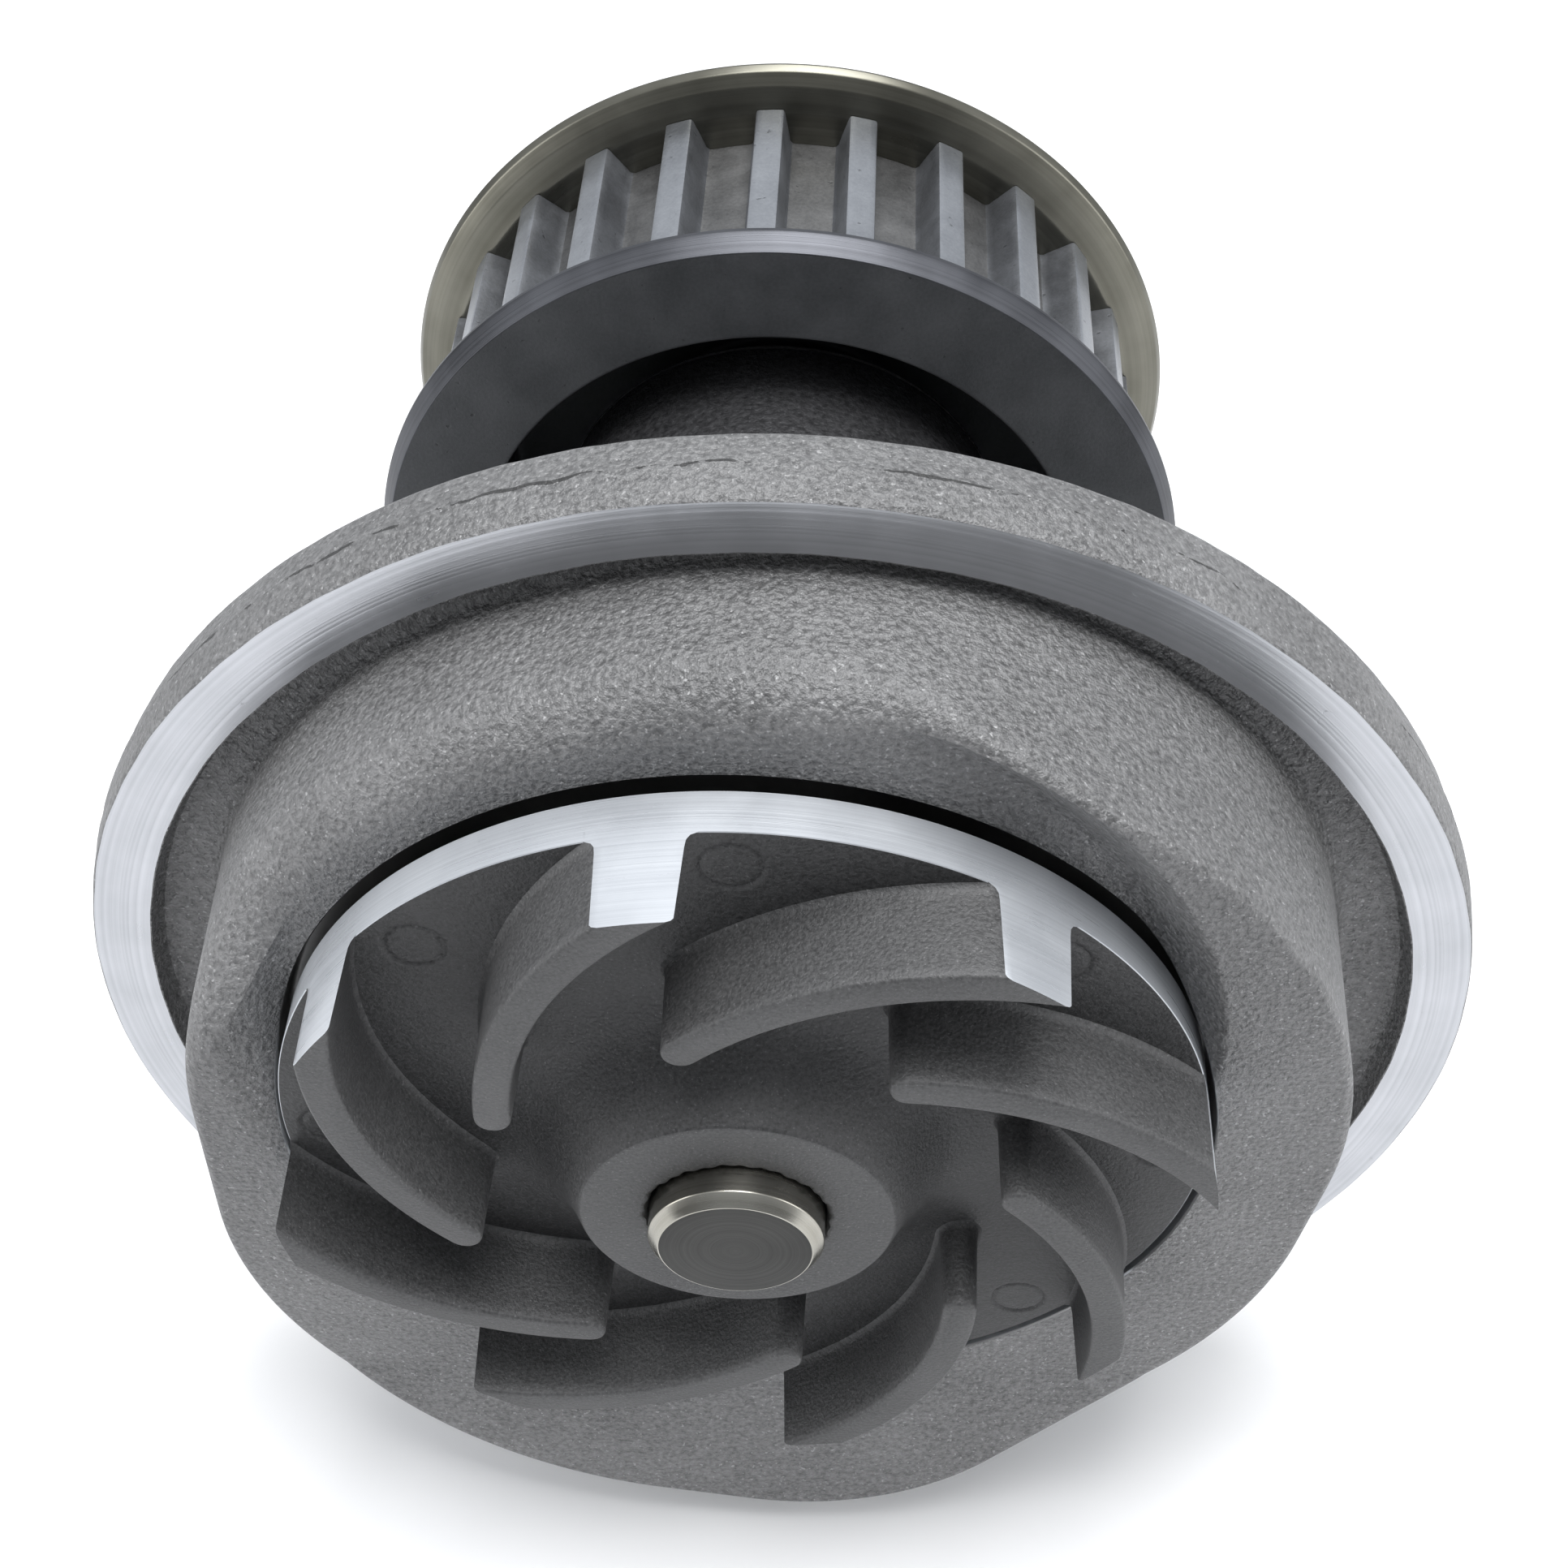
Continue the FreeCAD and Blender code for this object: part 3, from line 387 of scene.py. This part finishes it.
# Tooth lands get a lighter copy of the sintered skin (painted light, as the lands face the overhead light)
# and groove floors a darker copy (painted shade, as the floors sit down between the teeth).
SPROCKET_LAND_PAINTED_LIGHT = sintered("sprocket_land_painted_light", (0.22, 0.23, 0.25), (0.33, 0.345, 0.37), rough=(0.30, 0.42))
SPROCKET_FLOOR_PAINTED_SHADE = sintered("sprocket_floor_painted_shade", (0.10, 0.10, 0.10), (0.23, 0.23, 0.23))
SPROCKET_DARK = sintered("sprocket_face", (0.055, 0.058, 0.062), (0.095, 0.098, 0.104), metallic=0.5,
                         rough=(0.42, 0.58))
SPROCKET_RIM = turned_metal("sprocket_rim", (0.035, 0.036, 0.040), (0.13, 0.134, 0.148), rough=(0.34, 0.46),
                            pitch=0.4, depth=0.03, along_axis=True)
SHEET_STEEL = turned_metal("flange_sheet", (0.10, 0.097, 0.08), (0.21, 0.205, 0.175), rough=(0.24, 0.36),
                           pitch=1.2, depth=0.008, scratch=0.3)
STEEL = turned_metal("bearing_ground", (0.5, 0.5, 0.52), (0.66, 0.66, 0.68), rough=(0.18, 0.28), pitch=0.3,
                     depth=0.006)
RUBBER = moulded("black_rubber", (0.018, 0.018, 0.018), (0.045, 0.045, 0.045))
CAGE = moulded("cage_nylon", (0.50, 0.44, 0.30), (0.68, 0.62, 0.46))
CARBON = moulded("carbon", (0.03, 0.03, 0.033), (0.07, 0.07, 0.075), rough=(0.28, 0.4))
CERAMIC = moulded("ceramic", (0.74, 0.71, 0.64), (0.86, 0.84, 0.78), rough=(0.15, 0.25))
BALLS = turned_metal("ball_polished", (0.70, 0.70, 0.72), (0.80, 0.80, 0.82), rough=(0.06, 0.12), pitch=2.0,
                     depth=0.001)


# ------------------------------------------------------------------ pump body
def belt_path(growth):
    """Points along the outline that runs from circle to circle on their outer tangents."""
    circles = [(x, z, r + growth) for x, z, r in BODY_CIRCLES]
    tangents = []
    for i, (ax, az, ar) in enumerate(circles):
        bx, bz, br = circles[(i + 1) % len(circles)]
        span = math.hypot(bx - ax, bz - az)
        tangents.append(math.atan2(bz - az, bx - ax) + math.acos(max(-1.0, min(1.0, (ar - br) / span))))
    points = []
    for i, (x, z, r) in enumerate(circles):
        start, end = tangents[i - 1], tangents[i]
        while end > start:
            end -= FULL_TURN
        while start - end > FULL_TURN:
            end += FULL_TURN
        points += [(x + r * math.cos(a), z + r * math.sin(a)) for a in np.linspace(start, end, 240)]
        nx, nz, nr = circles[(i + 1) % len(circles)]
        last, first = np.array(points[-1]), np.array([nx + nr * math.cos(end), nz + nr * math.sin(end)])
        points += [tuple(last + (first - last) * t) for t in np.linspace(0.02, 0.98, 60)]
    return np.array(points)


def belt_radius(angles, growth):
    """Distance from the pump axis to the outline at each angle; growth moves the outline outwards."""
    path = belt_path(0.0)
    bearing = np.mod(np.arctan2(path[:, 1], path[:, 0]), FULL_TURN)
    order = np.argsort(bearing)
    distance = np.hypot(path[:, 0], path[:, 1])
    return np.interp(np.mod(angles, FULL_TURN), bearing[order], distance[order], period=FULL_TURN) + growth


def circle_radius(angles, centre, radius):
    """Distance from the pump axis to an off-centre circle, in each direction."""
    along = centre[0] * np.cos(angles) + centre[1] * np.sin(angles)
    across = centre[0] * np.sin(angles) - centre[1] * np.cos(angles)
    return along + np.sqrt(radius ** 2 - across ** 2)


def draft(y):
    """Growth of the body outline at height y."""
    t = (y - DRAFT_FRONT[0]) / (DRAFT_ROOT[0] - DRAFT_FRONT[0])
    return DRAFT_FRONT[1] + t * (DRAFT_ROOT[1] - DRAFT_FRONT[1])


def body_front(angles, radius):
    """y of the raised body's front: flat face, forward-leaning lobe and the round scoop."""
    x, z = radius * np.cos(angles), radius * np.sin(angles)
    face = FACE_Y - FACE_LEAN * np.maximum(0.0, FACE_BEND_Z - z)
    out = np.hypot(x - SCOOP_CENTRE[0], z - SCOOP_CENTRE[1]) - SCOOP_RADIUS
    scoop = SCOOP_FLOOR - SCOOP_SLOPE * smooth_max(out, 0.0 * out, 1.0)
    left = 0.5 - 0.5 * np.tanh(x / 8.0)
    return smooth_max(face, scoop, 0.25 + 2.2 * left)


def make_pump_body():
    angles = even_angles(1440)
    rows, bands = [], []

    def add(radius, y, band, centre=(0.0, 0.0)):
        rows.append(loop(angles, radius, y, centre))
        bands.append(band)

    cast, ring_band, bore, neck_shade_band = 0, 1, 2, 3
    # recess floor and wall
    add(SEAL_BORE, RECESS_FLOOR, bore)
    add(RECESS_RADIUS - 0.5, RECESS_FLOOR, bore)
    for step in range(1, 5):
        a = math.radians(22.5 * step)
        add(RECESS_RADIUS - 0.5 + 0.5 * math.sin(a), RECESS_FLOOR - 0.5 * (1 - math.cos(a)), bore)
    top = body_front(angles, np.full_like(angles, RECESS_RADIUS))
    for part in (0.5, 1.0):
        add(RECESS_RADIUS, (RECESS_FLOOR - 0.5) * (1 - part) + (top + 0.12) * part, bore)
    # front surface, out to its rounded edge
    direction = np.degrees(angles)
    soft = np.tanh((direction - SOFT_FROM) / 7.0) - np.tanh((direction - SOFT_TO) / 9.0)
    edge = EDGE_ROUNDING + SOFT_ROUNDING * soft
    outline = belt_radius(angles, draft(FACE_Y))
    edge_start = outline - edge
    for part in np.linspace(0.0, 1.0, 34):
        radius = (RECESS_RADIUS + 0.1) * (1 - part) + edge_start * part
        add(radius, body_front(angles, radius), cast)
    crest = body_front(angles, edge_start)
    for step in range(1, 9):
        a = math.radians(11.25 * step)
        add(edge_start + edge * math.sin(a), crest + edge * (1 - math.cos(a)), cast)
    # side wall with draft, down to a root fillet in the channel
    ring_wall = circle_radius(angles, RING_CENTRE, RING_INNER - 0.3)
    root = belt_radius(angles, draft(CHANNEL_FLOOR))
    fillet = np.minimum(1.3, 0.42 * (ring_wall - root))
    wall_end = CHANNEL_FLOOR - fillet
    for part in np.linspace(0.1, 1.0, 10):
        y = (crest + edge) * (1 - part) + wall_end * part
        growth = draft(y) - draft(crest + edge)
        add(outline + growth, y, cast)
    foot = outline + draft(wall_end) - draft(crest + edge)
    for step in range(1, 6):
        a = math.radians(18.0 * step)
        add(foot + fillet * (1 - math.cos(a)), wall_end + fillet * math.sin(a), cast)
    # channel floor and the ring's inner wall
    wall_foot = rows[-1]
    ring_side = loop(angles, ring_wall - 0.3, CHANNEL_FLOOR)
    for part in (0.5, 1.0):
        rows.append(wall_foot * (1 - part) + ring_side * part)
        bands.append(cast)
    wobble = 0.05 * np.sin(7 * angles + 1.0) + 0.04 * np.sin(23 * angles) + 0.03 * np.sin(61 * angles + 2.0)
    inner = circle_radius(angles, RING_CENTRE, RING_INNER)
    add(ring_wall - 0.05, CHANNEL_FLOOR - 0.35, cast)
    add(inner - 0.12, 0.25, cast)
    add(inner - 0.05 + wobble * 0.5, 0.03, cast)
    # machined ring face; its columns turn from the pump axis to the ring's own axis
    outer = circle_radius(angles, RING_CENTRE, RING_OUTER)
    add(inner + 0.05 + wobble * 0.5, 0.0, ring_band)
    add(outer - 0.12 + wobble * 0.6, 0.0, cast)
    add(outer - 0.02 + wobble * 0.3, 0.10, cast)
    # cast rim with its parting line and flat
    back = FLANGE_BACK
    around = np.arctan2(rows[-1][:, 2] - RING_CENTRE[1], rows[-1][:, 0] - RING_CENTRE[0])
    flat = FLAT_DISTANCE / np.maximum(np.cos(around - FLAT_ANGLE), 0.5)
    rim = ((0.6, 0.12), (1.4, 0.24), (2.3, 0.37), (2.8, 0.43), (3.05, 0.45), (3.3, 0.40), (3.8, 0.33),
           (4.6, 0.24), (back - 0.6, 0.10), (back - 0.25, -0.04), (back - 0.06, -0.25), (back, -0.55))
    for y, bulge in rim:
        places = [Vector((math.cos(a) * 22.0, y * 0.9, math.sin(a) * 22.0)) for a in angles]
        rough = np.array([noise.noise(place) for place in places])
        amount = 0.10 if 2.2 < y < 4.0 else 0.05
        radius = np.minimum(RING_OUTER + bulge + amount * rough, flat + 0.02 * rough)
        radius = np.minimum(radius, RING_OUTER + RIM_BULGE - 0.001)
        rows.append(np.stack([RING_CENTRE[0] + radius * np.cos(around), np.full_like(radius, y),
                              RING_CENTRE[1] + radius * np.sin(around)], axis=1))
        bands.append(cast)
    # flange back, neck and the bores inside it
    # The neck's outside uses the darkened cast skin: painted shade.
    neck = [(27.5, back, 0, cast), (23.0, back + 2.2, 4.0, cast), (20.2, back + 5.6, 4.0, neck_shade_band),
            (NECK_RADIUS, back + 9.5, 3.0, neck_shade_band), (NECK_RADIUS, NECK_END, 0.8, bore),
            (BEARING_RADIUS + 0.5, NECK_END, 0, bore), (BEARING_RADIUS, NECK_END - 0.5, 0, bore),
            (BEARING_RADIUS, BEARING_START, 0, bore), (CHAMBER_RADIUS, BEARING_START, 0, bore),
            (CHAMBER_RADIUS, CHAMBER_START, 0, bore), (SEAL_BORE, CHAMBER_START, 0, bore)]
    for radius, y, band in rounded_profile(neck):
        add(radius, y, band)
    piece = build("pump_body_casting", rows, bands, [CAST, RING_TURNED, BORE_TURNED, NECK_PAINTED_SHADE], wrap=True)
    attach(piece, "housing")
    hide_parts("pump_body")


# ------------------------------------------------------------------ impeller
def circle_through(a, b, c):
    """Centre and radius of the circle through three points of the XZ plane."""
    rows = np.array([2 * (b - a), 2 * (c - a)])
    values = np.array([b @ b - a @ a, c @ c - a @ a])
    centre = np.linalg.solve(rows, values)
    return centre, np.linalg.norm(a - centre)


def polar(radius, angle):
    return np.array([radius * math.cos(angle), radius * math.sin(angle)])


def disc_front(radius):
    """y of the impeller's front between its vanes: hub cone, hollow, then the flat disc."""
    corners_r = (HUB_RADIUS, HUB_RADIUS + 1.5, HUB_RADIUS + 3.6, HUB_RADIUS + 6.6, HUB_RADIUS + 11.0, 40.0)
    corners_y = (HUB_FACE, HUB_FACE + 2.9, DISC_FRONT - 1.4, DISC_FRONT - 0.25, DISC_FRONT, DISC_FRONT)
    return np.interp(radius, corners_r, corners_y)


def side_point(centre, radius, start, end, t):
    """Point at fraction t along the arc of the given radius between two directions."""
    angle = start + (end - start) * t
    return centre + radius * np.array([np.cos(angle), np.sin(angle)])


def make_vane(index):
    """One swept vane: rounded inner end, drafted sides, outer end flush with the turned rim."""
    turn = VANE_START - FULL_TURN * index / VANE_COUNT
    inner = polar(VANE_INNER, turn)
    middle = polar(VANE_MIDDLE, turn - VANE_MIDDLE_TURN)
    outer = polar(IMPELLER_RADIUS, turn - VANE_SWEEP)
    centre, sweep_radius = circle_through(inner, middle, outer)
    start = math.atan2(*(inner - centre)[::-1])
    end = math.atan2(*(outer - centre)[::-1])
    while end - start > math.pi:
        end -= FULL_TURN
    while end - start < -math.pi:
        end += FULL_TURN
    forward = 1.0 if end > start else -1.0

    def end_angle(radius):
        """Where the side of that radius meets the impeller's outside circle."""
        low, high = end - 0.3, end + 0.3
        values = np.linspace(low, high, 2001)
        points = centre[:, None] + radius * np.array([np.cos(values), np.sin(values)])
        return values[np.argmin(np.abs(np.hypot(points[0], points[1]) - IMPELLER_RADIUS))]

    def outline(half):
        """Loop of points: out along one side, across the end, back, and round the nose."""
        near_side, far_side = sweep_radius - half, sweep_radius + half
        near_end, far_end = end_angle(near_side), end_angle(far_side)
        points = [side_point(centre, near_side, start, near_end, t) for t in np.linspace(0, 1, 40)]
        first, last = points[-1], side_point(centre, far_side, start, far_end, 1.0)
        for t in np.linspace(0.1, 0.9, 7):
            chord = first * (1 - t) + last * t
            points.append(chord / np.linalg.norm(chord) * IMPELLER_RADIUS)
        points += [side_point(centre, far_side, start, far_end, t) for t in np.linspace(1, 0, 40)]
        for t in np.linspace(0.08, 0.92, 11):
            across = sweep_radius + half * math.cos(math.pi * t)
            back = start - forward * half * math.sin(math.pi * t) / sweep_radius
            points.append(centre + across * np.array([math.cos(back), math.sin(back)]))
        return np.array(points)

    tip_half, root_half = VANE_TIP_WIDTH / 2, VANE_ROOT_WIDTH / 2
    # height as a fraction of the vane, and half its width there: root fillet, drafted side, rounded tip
    levels = [(-0.12, root_half + 0.4), (0.0, root_half + 0.34), (0.03, root_half + 0.12),
              (0.08, root_half + 0.01)]
    for t in np.linspace(0.16, 0.96, 9):
        levels.append((t, root_half + (tip_half - root_half) * t))
    levels += [(0.985, tip_half - 0.07), (1.0, tip_half - 0.24)]
    rows = []
    for t, half in levels:
        flat = outline(half)
        base = disc_front(np.hypot(flat[:, 0], flat[:, 1]))
        y = base + (VANE_TIP - base) * t
        rows.append(np.stack([flat[:, 0], y, flat[:, 1]], axis=1))
    piece = build("vane_%d" % index, rows, [0] * len(rows), [IMPELLER_SKIN, IMPELLER_TURNED],
                  sharp_degrees=40.0)
    for face in piece.data.polygons:
        radius = math.hypot(face.center.x, face.center.z) / MM
        if radius > IMPELLER_RADIUS - 0.05 and abs(face.normal.y) < 0.5:
            face.material_index = 1
    return piece


def make_impeller():
    angles = even_angles(1152)
    rows, bands = [], []
    mark_circle = 0.9 * IMPELLER_RADIUS
    mark_angles = [math.radians(88.0) + FULL_TURN * k / VANE_COUNT for k in range(VANE_COUNT)]

    def add(radius, y, band):
        rows.append(loop(angles, radius, y))
        bands.append(band)

    def marked(radius, y):
        """y of the disc with the shallow rings that ejector pins leave near the rim."""
        x, z = radius * np.cos(angles), radius * np.sin(angles)
        lift = np.zeros_like(angles)
        for mark in mark_angles:
            away = np.hypot(x - mark_circle * math.cos(mark), z - mark_circle * math.sin(mark))
            inside = 0.5 - 0.5 * np.tanh((away - 1.9) / 0.08)
            groove = np.exp(-((away - 1.95) / 0.13) ** 2)
            lift = lift + 0.05 * inside + 0.16 * groove
        return y + lift

    # Band cast is the darkened disc skin, painted shade over the shaft hole, hub cone, hollow, disc and back;
    # band hub is the lighter impeller skin of the flat hub face.
    cast, rim, hub = 0, 1, 2
    ragged = 0.12 * np.sin(9 * angles) * np.sin(4 * angles + 1) + 0.07 * np.sin(31 * angles)
    add(THIN_SHAFT, DISC_BACK + 1.6, cast)
    add(THIN_SHAFT + 0.02, HUB_FACE + 1.0, cast)
    add(THIN_SHAFT + 0.22 + 0.4 * ragged, HUB_FACE + 0.25, cast)
    add(THIN_SHAFT + 0.38 + ragged, HUB_FACE + 0.03, cast)
    add(THIN_SHAFT + 0.55 + ragged, HUB_FACE, hub)
    for radius in (8.0, 9.5, HUB_RADIUS - 0.35):
        add(radius, HUB_FACE, hub)
    add(HUB_RADIUS - 0.1, HUB_FACE + 0.05, cast)
    add(HUB_RADIUS + 0.08, HUB_FACE + 0.25, cast)
    for part in np.linspace(0.08, 1.0, 14):
        radius = HUB_RADIUS + 11.2 * part
        smooth = np.mean([disc_front(radius + d) for d in np.linspace(-0.9, 0.9, 7) * min(1.0, part * 4)])
        add(radius, smooth, cast)
    for radius in np.linspace(23.0, IMPELLER_RADIUS - 0.12, 60):
        add(radius, marked(radius, DISC_FRONT), cast)
    add(IMPELLER_RADIUS - 0.06, DISC_FRONT, rim)
    add(IMPELLER_RADIUS, DISC_FRONT + 0.05, rim)
    add(IMPELLER_RADIUS, DISC_BACK - 0.1, rim)
    add(IMPELLER_RADIUS - 0.1, DISC_BACK, cast)
    add(12.0, DISC_BACK, cast)
    add(11.0, DISC_BACK + 1.6, cast)
    disc = build("impeller_disc", rows, bands, [DISC_PAINTED_SHADE, IMPELLER_TURNED, IMPELLER_SKIN], wrap=True,
                 sharp_degrees=40.0)
    vanes = [make_vane(index) for index in range(VANE_COUNT)]
    piece = joined("impeller_casting", [disc] + vanes)
    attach(piece, "rotor")
    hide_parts("impeller")


# ------------------------------------------------------------------ sprocket
def tooth_outline():
    """Angles and radii of one pitch of the toothed outline, from land centre to land centre."""
    pitch = FULL_TURN / TOOTH_COUNT
    floor_radius = TIP_RADIUS - TOOTH_HEIGHT
    land_edge = pitch / 2 - GROOVE_TOP / 2 / TIP_RADIUS
    floor_edge = pitch / 2 - GROOVE_FLOOR / 2 / floor_radius
    half = [(0.0, TIP_RADIUS, 0), (land_edge * 0.5, TIP_RADIUS, 0), (land_edge - 0.006, TIP_RADIUS, 0),
            (land_edge - 0.001, TIP_RADIUS - 0.06, 0), (land_edge + 0.002, TIP_RADIUS - 0.25, 1)]
    for t in (0.25, 0.5, 0.75):
        half.append((land_edge + (floor_edge - land_edge) * t, TIP_RADIUS - TOOTH_HEIGHT * t, 1))
    half += [(floor_edge - 0.003, floor_radius + 0.35, 1), (floor_edge + 0.004, floor_radius + 0.08, 2),
             (floor_edge + 0.014, floor_radius, 2), ((floor_edge + pitch / 2) / 2, floor_radius, 2)]
    full = half + [(pitch / 2, floor_radius, 2)]
    full += [(pitch - angle, radius, kind) for angle, radius, kind in half[:0:-1]]
    return full


def make_sprocket():
    pitch = FULL_TURN / TOOTH_COUNT
    outline = tooth_outline()
    starts = [FIRST_LAND + k * pitch for k in range(TOOTH_COUNT)]
    angles = np.array([start + angle for start in starts for angle, _, _ in outline])
    teeth = np.array([radius for _ in range(TOOTH_COUNT) for _, radius, _ in outline])
    rows, bands = [], []
    skin, dark, rim, land, floor = 0, 1, 2, 3, 4
    hub_end, hub_radius = WEB_Y - 6.5, JOURNAL + 5
    front = [(SPIGOT, TOOTH_END, 0, skin), (SPIGOT, TOOTH_END + 1, 0.2, skin),
             (JOURNAL, TOOTH_END + 1, 0.2, skin), (JOURNAL, hub_end, 0.3, dark),
             (hub_radius, hub_end, 0.4, dark), (hub_radius, WEB_Y, 0.6, dark),
             (SPROCKET_RECESS - 0.6, WEB_Y, 1.0, dark), (SPROCKET_RECESS, SPROCKET_FACE, 0.35, dark),
             (NEAR_FLANGE - 0.85, SPROCKET_FACE, 0.12, rim), (NEAR_FLANGE, TOOTH_START - 0.75, 0.15, rim),
             (NEAR_FLANGE, TOOTH_START - 0.35, 0.12, rim),
             (NEAR_FLANGE - 0.5, TOOTH_START - 0.08, 0.15, skin), (TIP_RADIUS + 0.2, TOOTH_START, 0, skin)]
    for radius, y, band in rounded_profile(front):
        rows.append(loop(angles, radius, y))
        bands.append(band)
    for y in (TOOTH_START + 0.02, TOOTH_START + 0.2, (TOOTH_START + TOOTH_END) / 2, TOOTH_END):
        rows.append(loop(angles, teeth, y))
        bands.append(land)
    piece = build("belt_sprocket", rows, bands,
                  [SPROCKET_SKIN, SPROCKET_DARK, SPROCKET_RIM, SPROCKET_LAND_PAINTED_LIGHT, SPROCKET_FLOOR_PAINTED_SHADE], wrap=True)
    # Lands keep the lighter sintered copy (painted light), groove floors get the darker copy (painted shade)
    # and the flanks the plain skin.
    for face in piece.data.polygons:
        if face.material_index == land and abs(face.normal.y) < 0.5:
            radius = math.hypot(face.center.x, face.center.z) / MM
            if radius < TIP_RADIUS - TOOTH_HEIGHT + 0.1:
                face.material_index = floor
            elif radius < TIP_RADIUS - 0.1:
                face.material_index = skin
    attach(piece, "rotor")
    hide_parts("drive_sprocket")


def make_far_flange():
    lip = FAR_FLANGE
    near, far = TOOTH_END, TOOTH_END + 1.0
    bends = [(SPIGOT, near, 0), (TIP_RADIUS - 0.4, near + 0.02, 1.5), (lip - 1.4, near + 0.55, 0.8),
             (lip - 0.35, near + 1.2, 0.5), (lip, near + 1.85, 0.25), (lip - 0.25, near + 2.25, 0.15),
             (lip - 0.8, near + 2.0, 0.4), (lip - 1.7, far + 0.62, 0.6), (TIP_RADIUS - 0.6, far, 1.0),
             (SPIGOT, far, 0)]
    corners = [(radius, y, rounding, 0) for radius, y, rounding in bends]
    piece = turned("far_flange", corners, [SHEET_STEEL], columns=512)
    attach(piece, "rotor")
    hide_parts("sprocket_flange")


# ------------------------------------------------------------------ shaft
def make_shaft():
    end, side = 0, 1
    tail = 68.4
    step_y = 4.6
    corners = [(0.02, SHAFT_END, 0, end), (THIN_SHAFT - 0.75, SHAFT_END, 0.15, side),
               (THIN_SHAFT, SHAFT_END + 0.85, 0.25, side), (THIN_SHAFT, step_y, 0, side),
               (JOURNAL - 0.5, step_y, 0, side), (JOURNAL, step_y + 0.5, 0, side)]
    groove_half, groove_depth = 1.90, 0.83
    for row_y in (19.5, 41.5):
        for step in range(-6, 7):
            a = step / 6.0
            corners.append((JOURNAL - groove_depth * (1 - a * a), row_y + groove_half * a, 0, side))
    corners += [(JOURNAL, tail - 0.7, 0.1, end), (JOURNAL - 0.7, tail, 0.1, end), (0.02, tail, 0, end)]
    piece = turned("pump_shaft", corners, [SHAFT_STEEL, SHAFT_SIDE], columns=256, wrap=False)
    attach(piece, "rotor")
    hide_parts("shaft")


# ------------------------------------------------------------------ the pieces kept from the part
NODE_LOOKS = {
    "weep_plug": RUBBER, "bearing_outer_ring": STEEL, "front_balls": BALLS, "rear_balls": BALLS,
    "front_ball_cage": CAGE, "rear_ball_cage": CAGE, "front_bearing_seal": RUBBER,
    "rear_bearing_seal": RUBBER, "slinger": RUBBER, "seal_cup": STEEL, "seal_bellows": RUBBER,
    "seal_spring": STEEL, "seal_carbon_ring": CARBON, "seal_ceramic_ring": CERAMIC,
    "seal_seat_rubber": RUBBER, "seal_seat_sleeve": STEEL,
}


def dress_nodes():
    for name, material in NODE_LOOKS.items():
        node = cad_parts[name]
        if not node.material_slots:
            node.data.materials.append(material)
        for place in node.material_slots:
            place.link = "OBJECT"
            place.material = material


# ------------------------------------------------------------------ floor, light and camera
def make_stage():
    low = cad_box[0][2] - 0.0004
    bpy.ops.mesh.primitive_plane_add(size=4.0, location=(0.0, 0.0, low))
    floor = bpy.context.object
    floor.name = "floor"
    s = Shader("pale_floor", Roughness=0.9)
    s.principled.inputs["Base Color"].default_value = (0.93, 0.93, 0.935, 1.0)
    floor.data.materials.append(s.material)


def area_light(name, place, size, power):
    """Rectangular soft box, sizes in metres, facing the origin."""
    lamp = bpy.data.lights.new(name, "AREA")
    lamp.shape = "RECTANGLE"
    lamp.size, lamp.size_y = size
    lamp.energy = power
    lamp_object = bpy.data.objects.new(name, lamp)
    lamp_object.location = place
    lamp_object.rotation_euler = (-Vector(place)).to_track_quat("-Z", "Y").to_euler()
    bpy.context.collection.objects.link(lamp_object)


def make_lights():
    """Sky that brightens upwards and behind the pump, a large light overhead and two side cards."""
    bpy.context.scene.view_settings.view_transform = "Standard"
    world = bpy.data.worlds.new("studio")
    bpy.context.scene.world = world
    world.use_nodes = True
    nodes, links = world.node_tree.nodes, world.node_tree.links
    background = nodes["Background"]
    direction = nodes.new("ShaderNodeTexCoord")
    split = nodes.new("ShaderNodeSeparateXYZ")
    links.new(direction.outputs["Generated"], split.inputs[0])
    behind = nodes.new("ShaderNodeMath")
    behind.operation = "MULTIPLY"
    behind.inputs[1].default_value = 0.7
    links.new(split.outputs[1], behind.inputs[0])
    slope = nodes.new("ShaderNodeMath")
    slope.operation = "ADD"
    links.new(split.outputs[2], slope.inputs[0])
    links.new(behind.outputs[0], slope.inputs[1])
    ramp = nodes.new("ShaderNodeMapRange")
    for socket, value in (("From Min", -0.5), ("From Max", 1.1), ("To Min", 0.10), ("To Max", 1.0)):
        ramp.inputs[socket].default_value = value
    links.new(slope.outputs[0], ramp.inputs["Value"])
    links.new(ramp.outputs["Result"], background.inputs["Strength"])
    background.inputs["Color"].default_value = (0.93, 0.96, 1.0, 1.0)
    area_light("overhead", (0.06, -0.02, 0.60), (0.40, 0.30), 4.2)
    area_light("left_card", (-0.50, -0.10, 0.15), (0.25, 0.35), 1.0)
    area_light("right_card", (0.50, -0.10, 0.15), (0.25, 0.35), 0.9)


def make_camera():
    """Camera in front of and above the pump, looking down at about 47 degrees."""
    lens = bpy.data.cameras.new("camera")
    lens.sensor_width = SENSOR_WIDTH
    lens.lens = LENS
    lens.clip_start = 0.01
    camera = bpy.data.objects.new("camera", lens)
    forward = Vector(CAMERA_FORWARD).normalized()
    right = forward.cross(Vector(CAMERA_UP)).normalized()
    up = right.cross(forward)
    turn = Matrix((right, up, -forward)).transposed()
    camera.matrix_world = Matrix.Translation(Vector(CAMERA_PLACE) * MM) @ turn.to_4x4()
    bpy.context.collection.objects.link(camera)
    bpy.context.scene.camera = camera


make_camera()
make_stage()
make_lights()
make_pump_body()
make_impeller()
make_sprocket()
make_far_flange()
make_shaft()
dress_nodes()
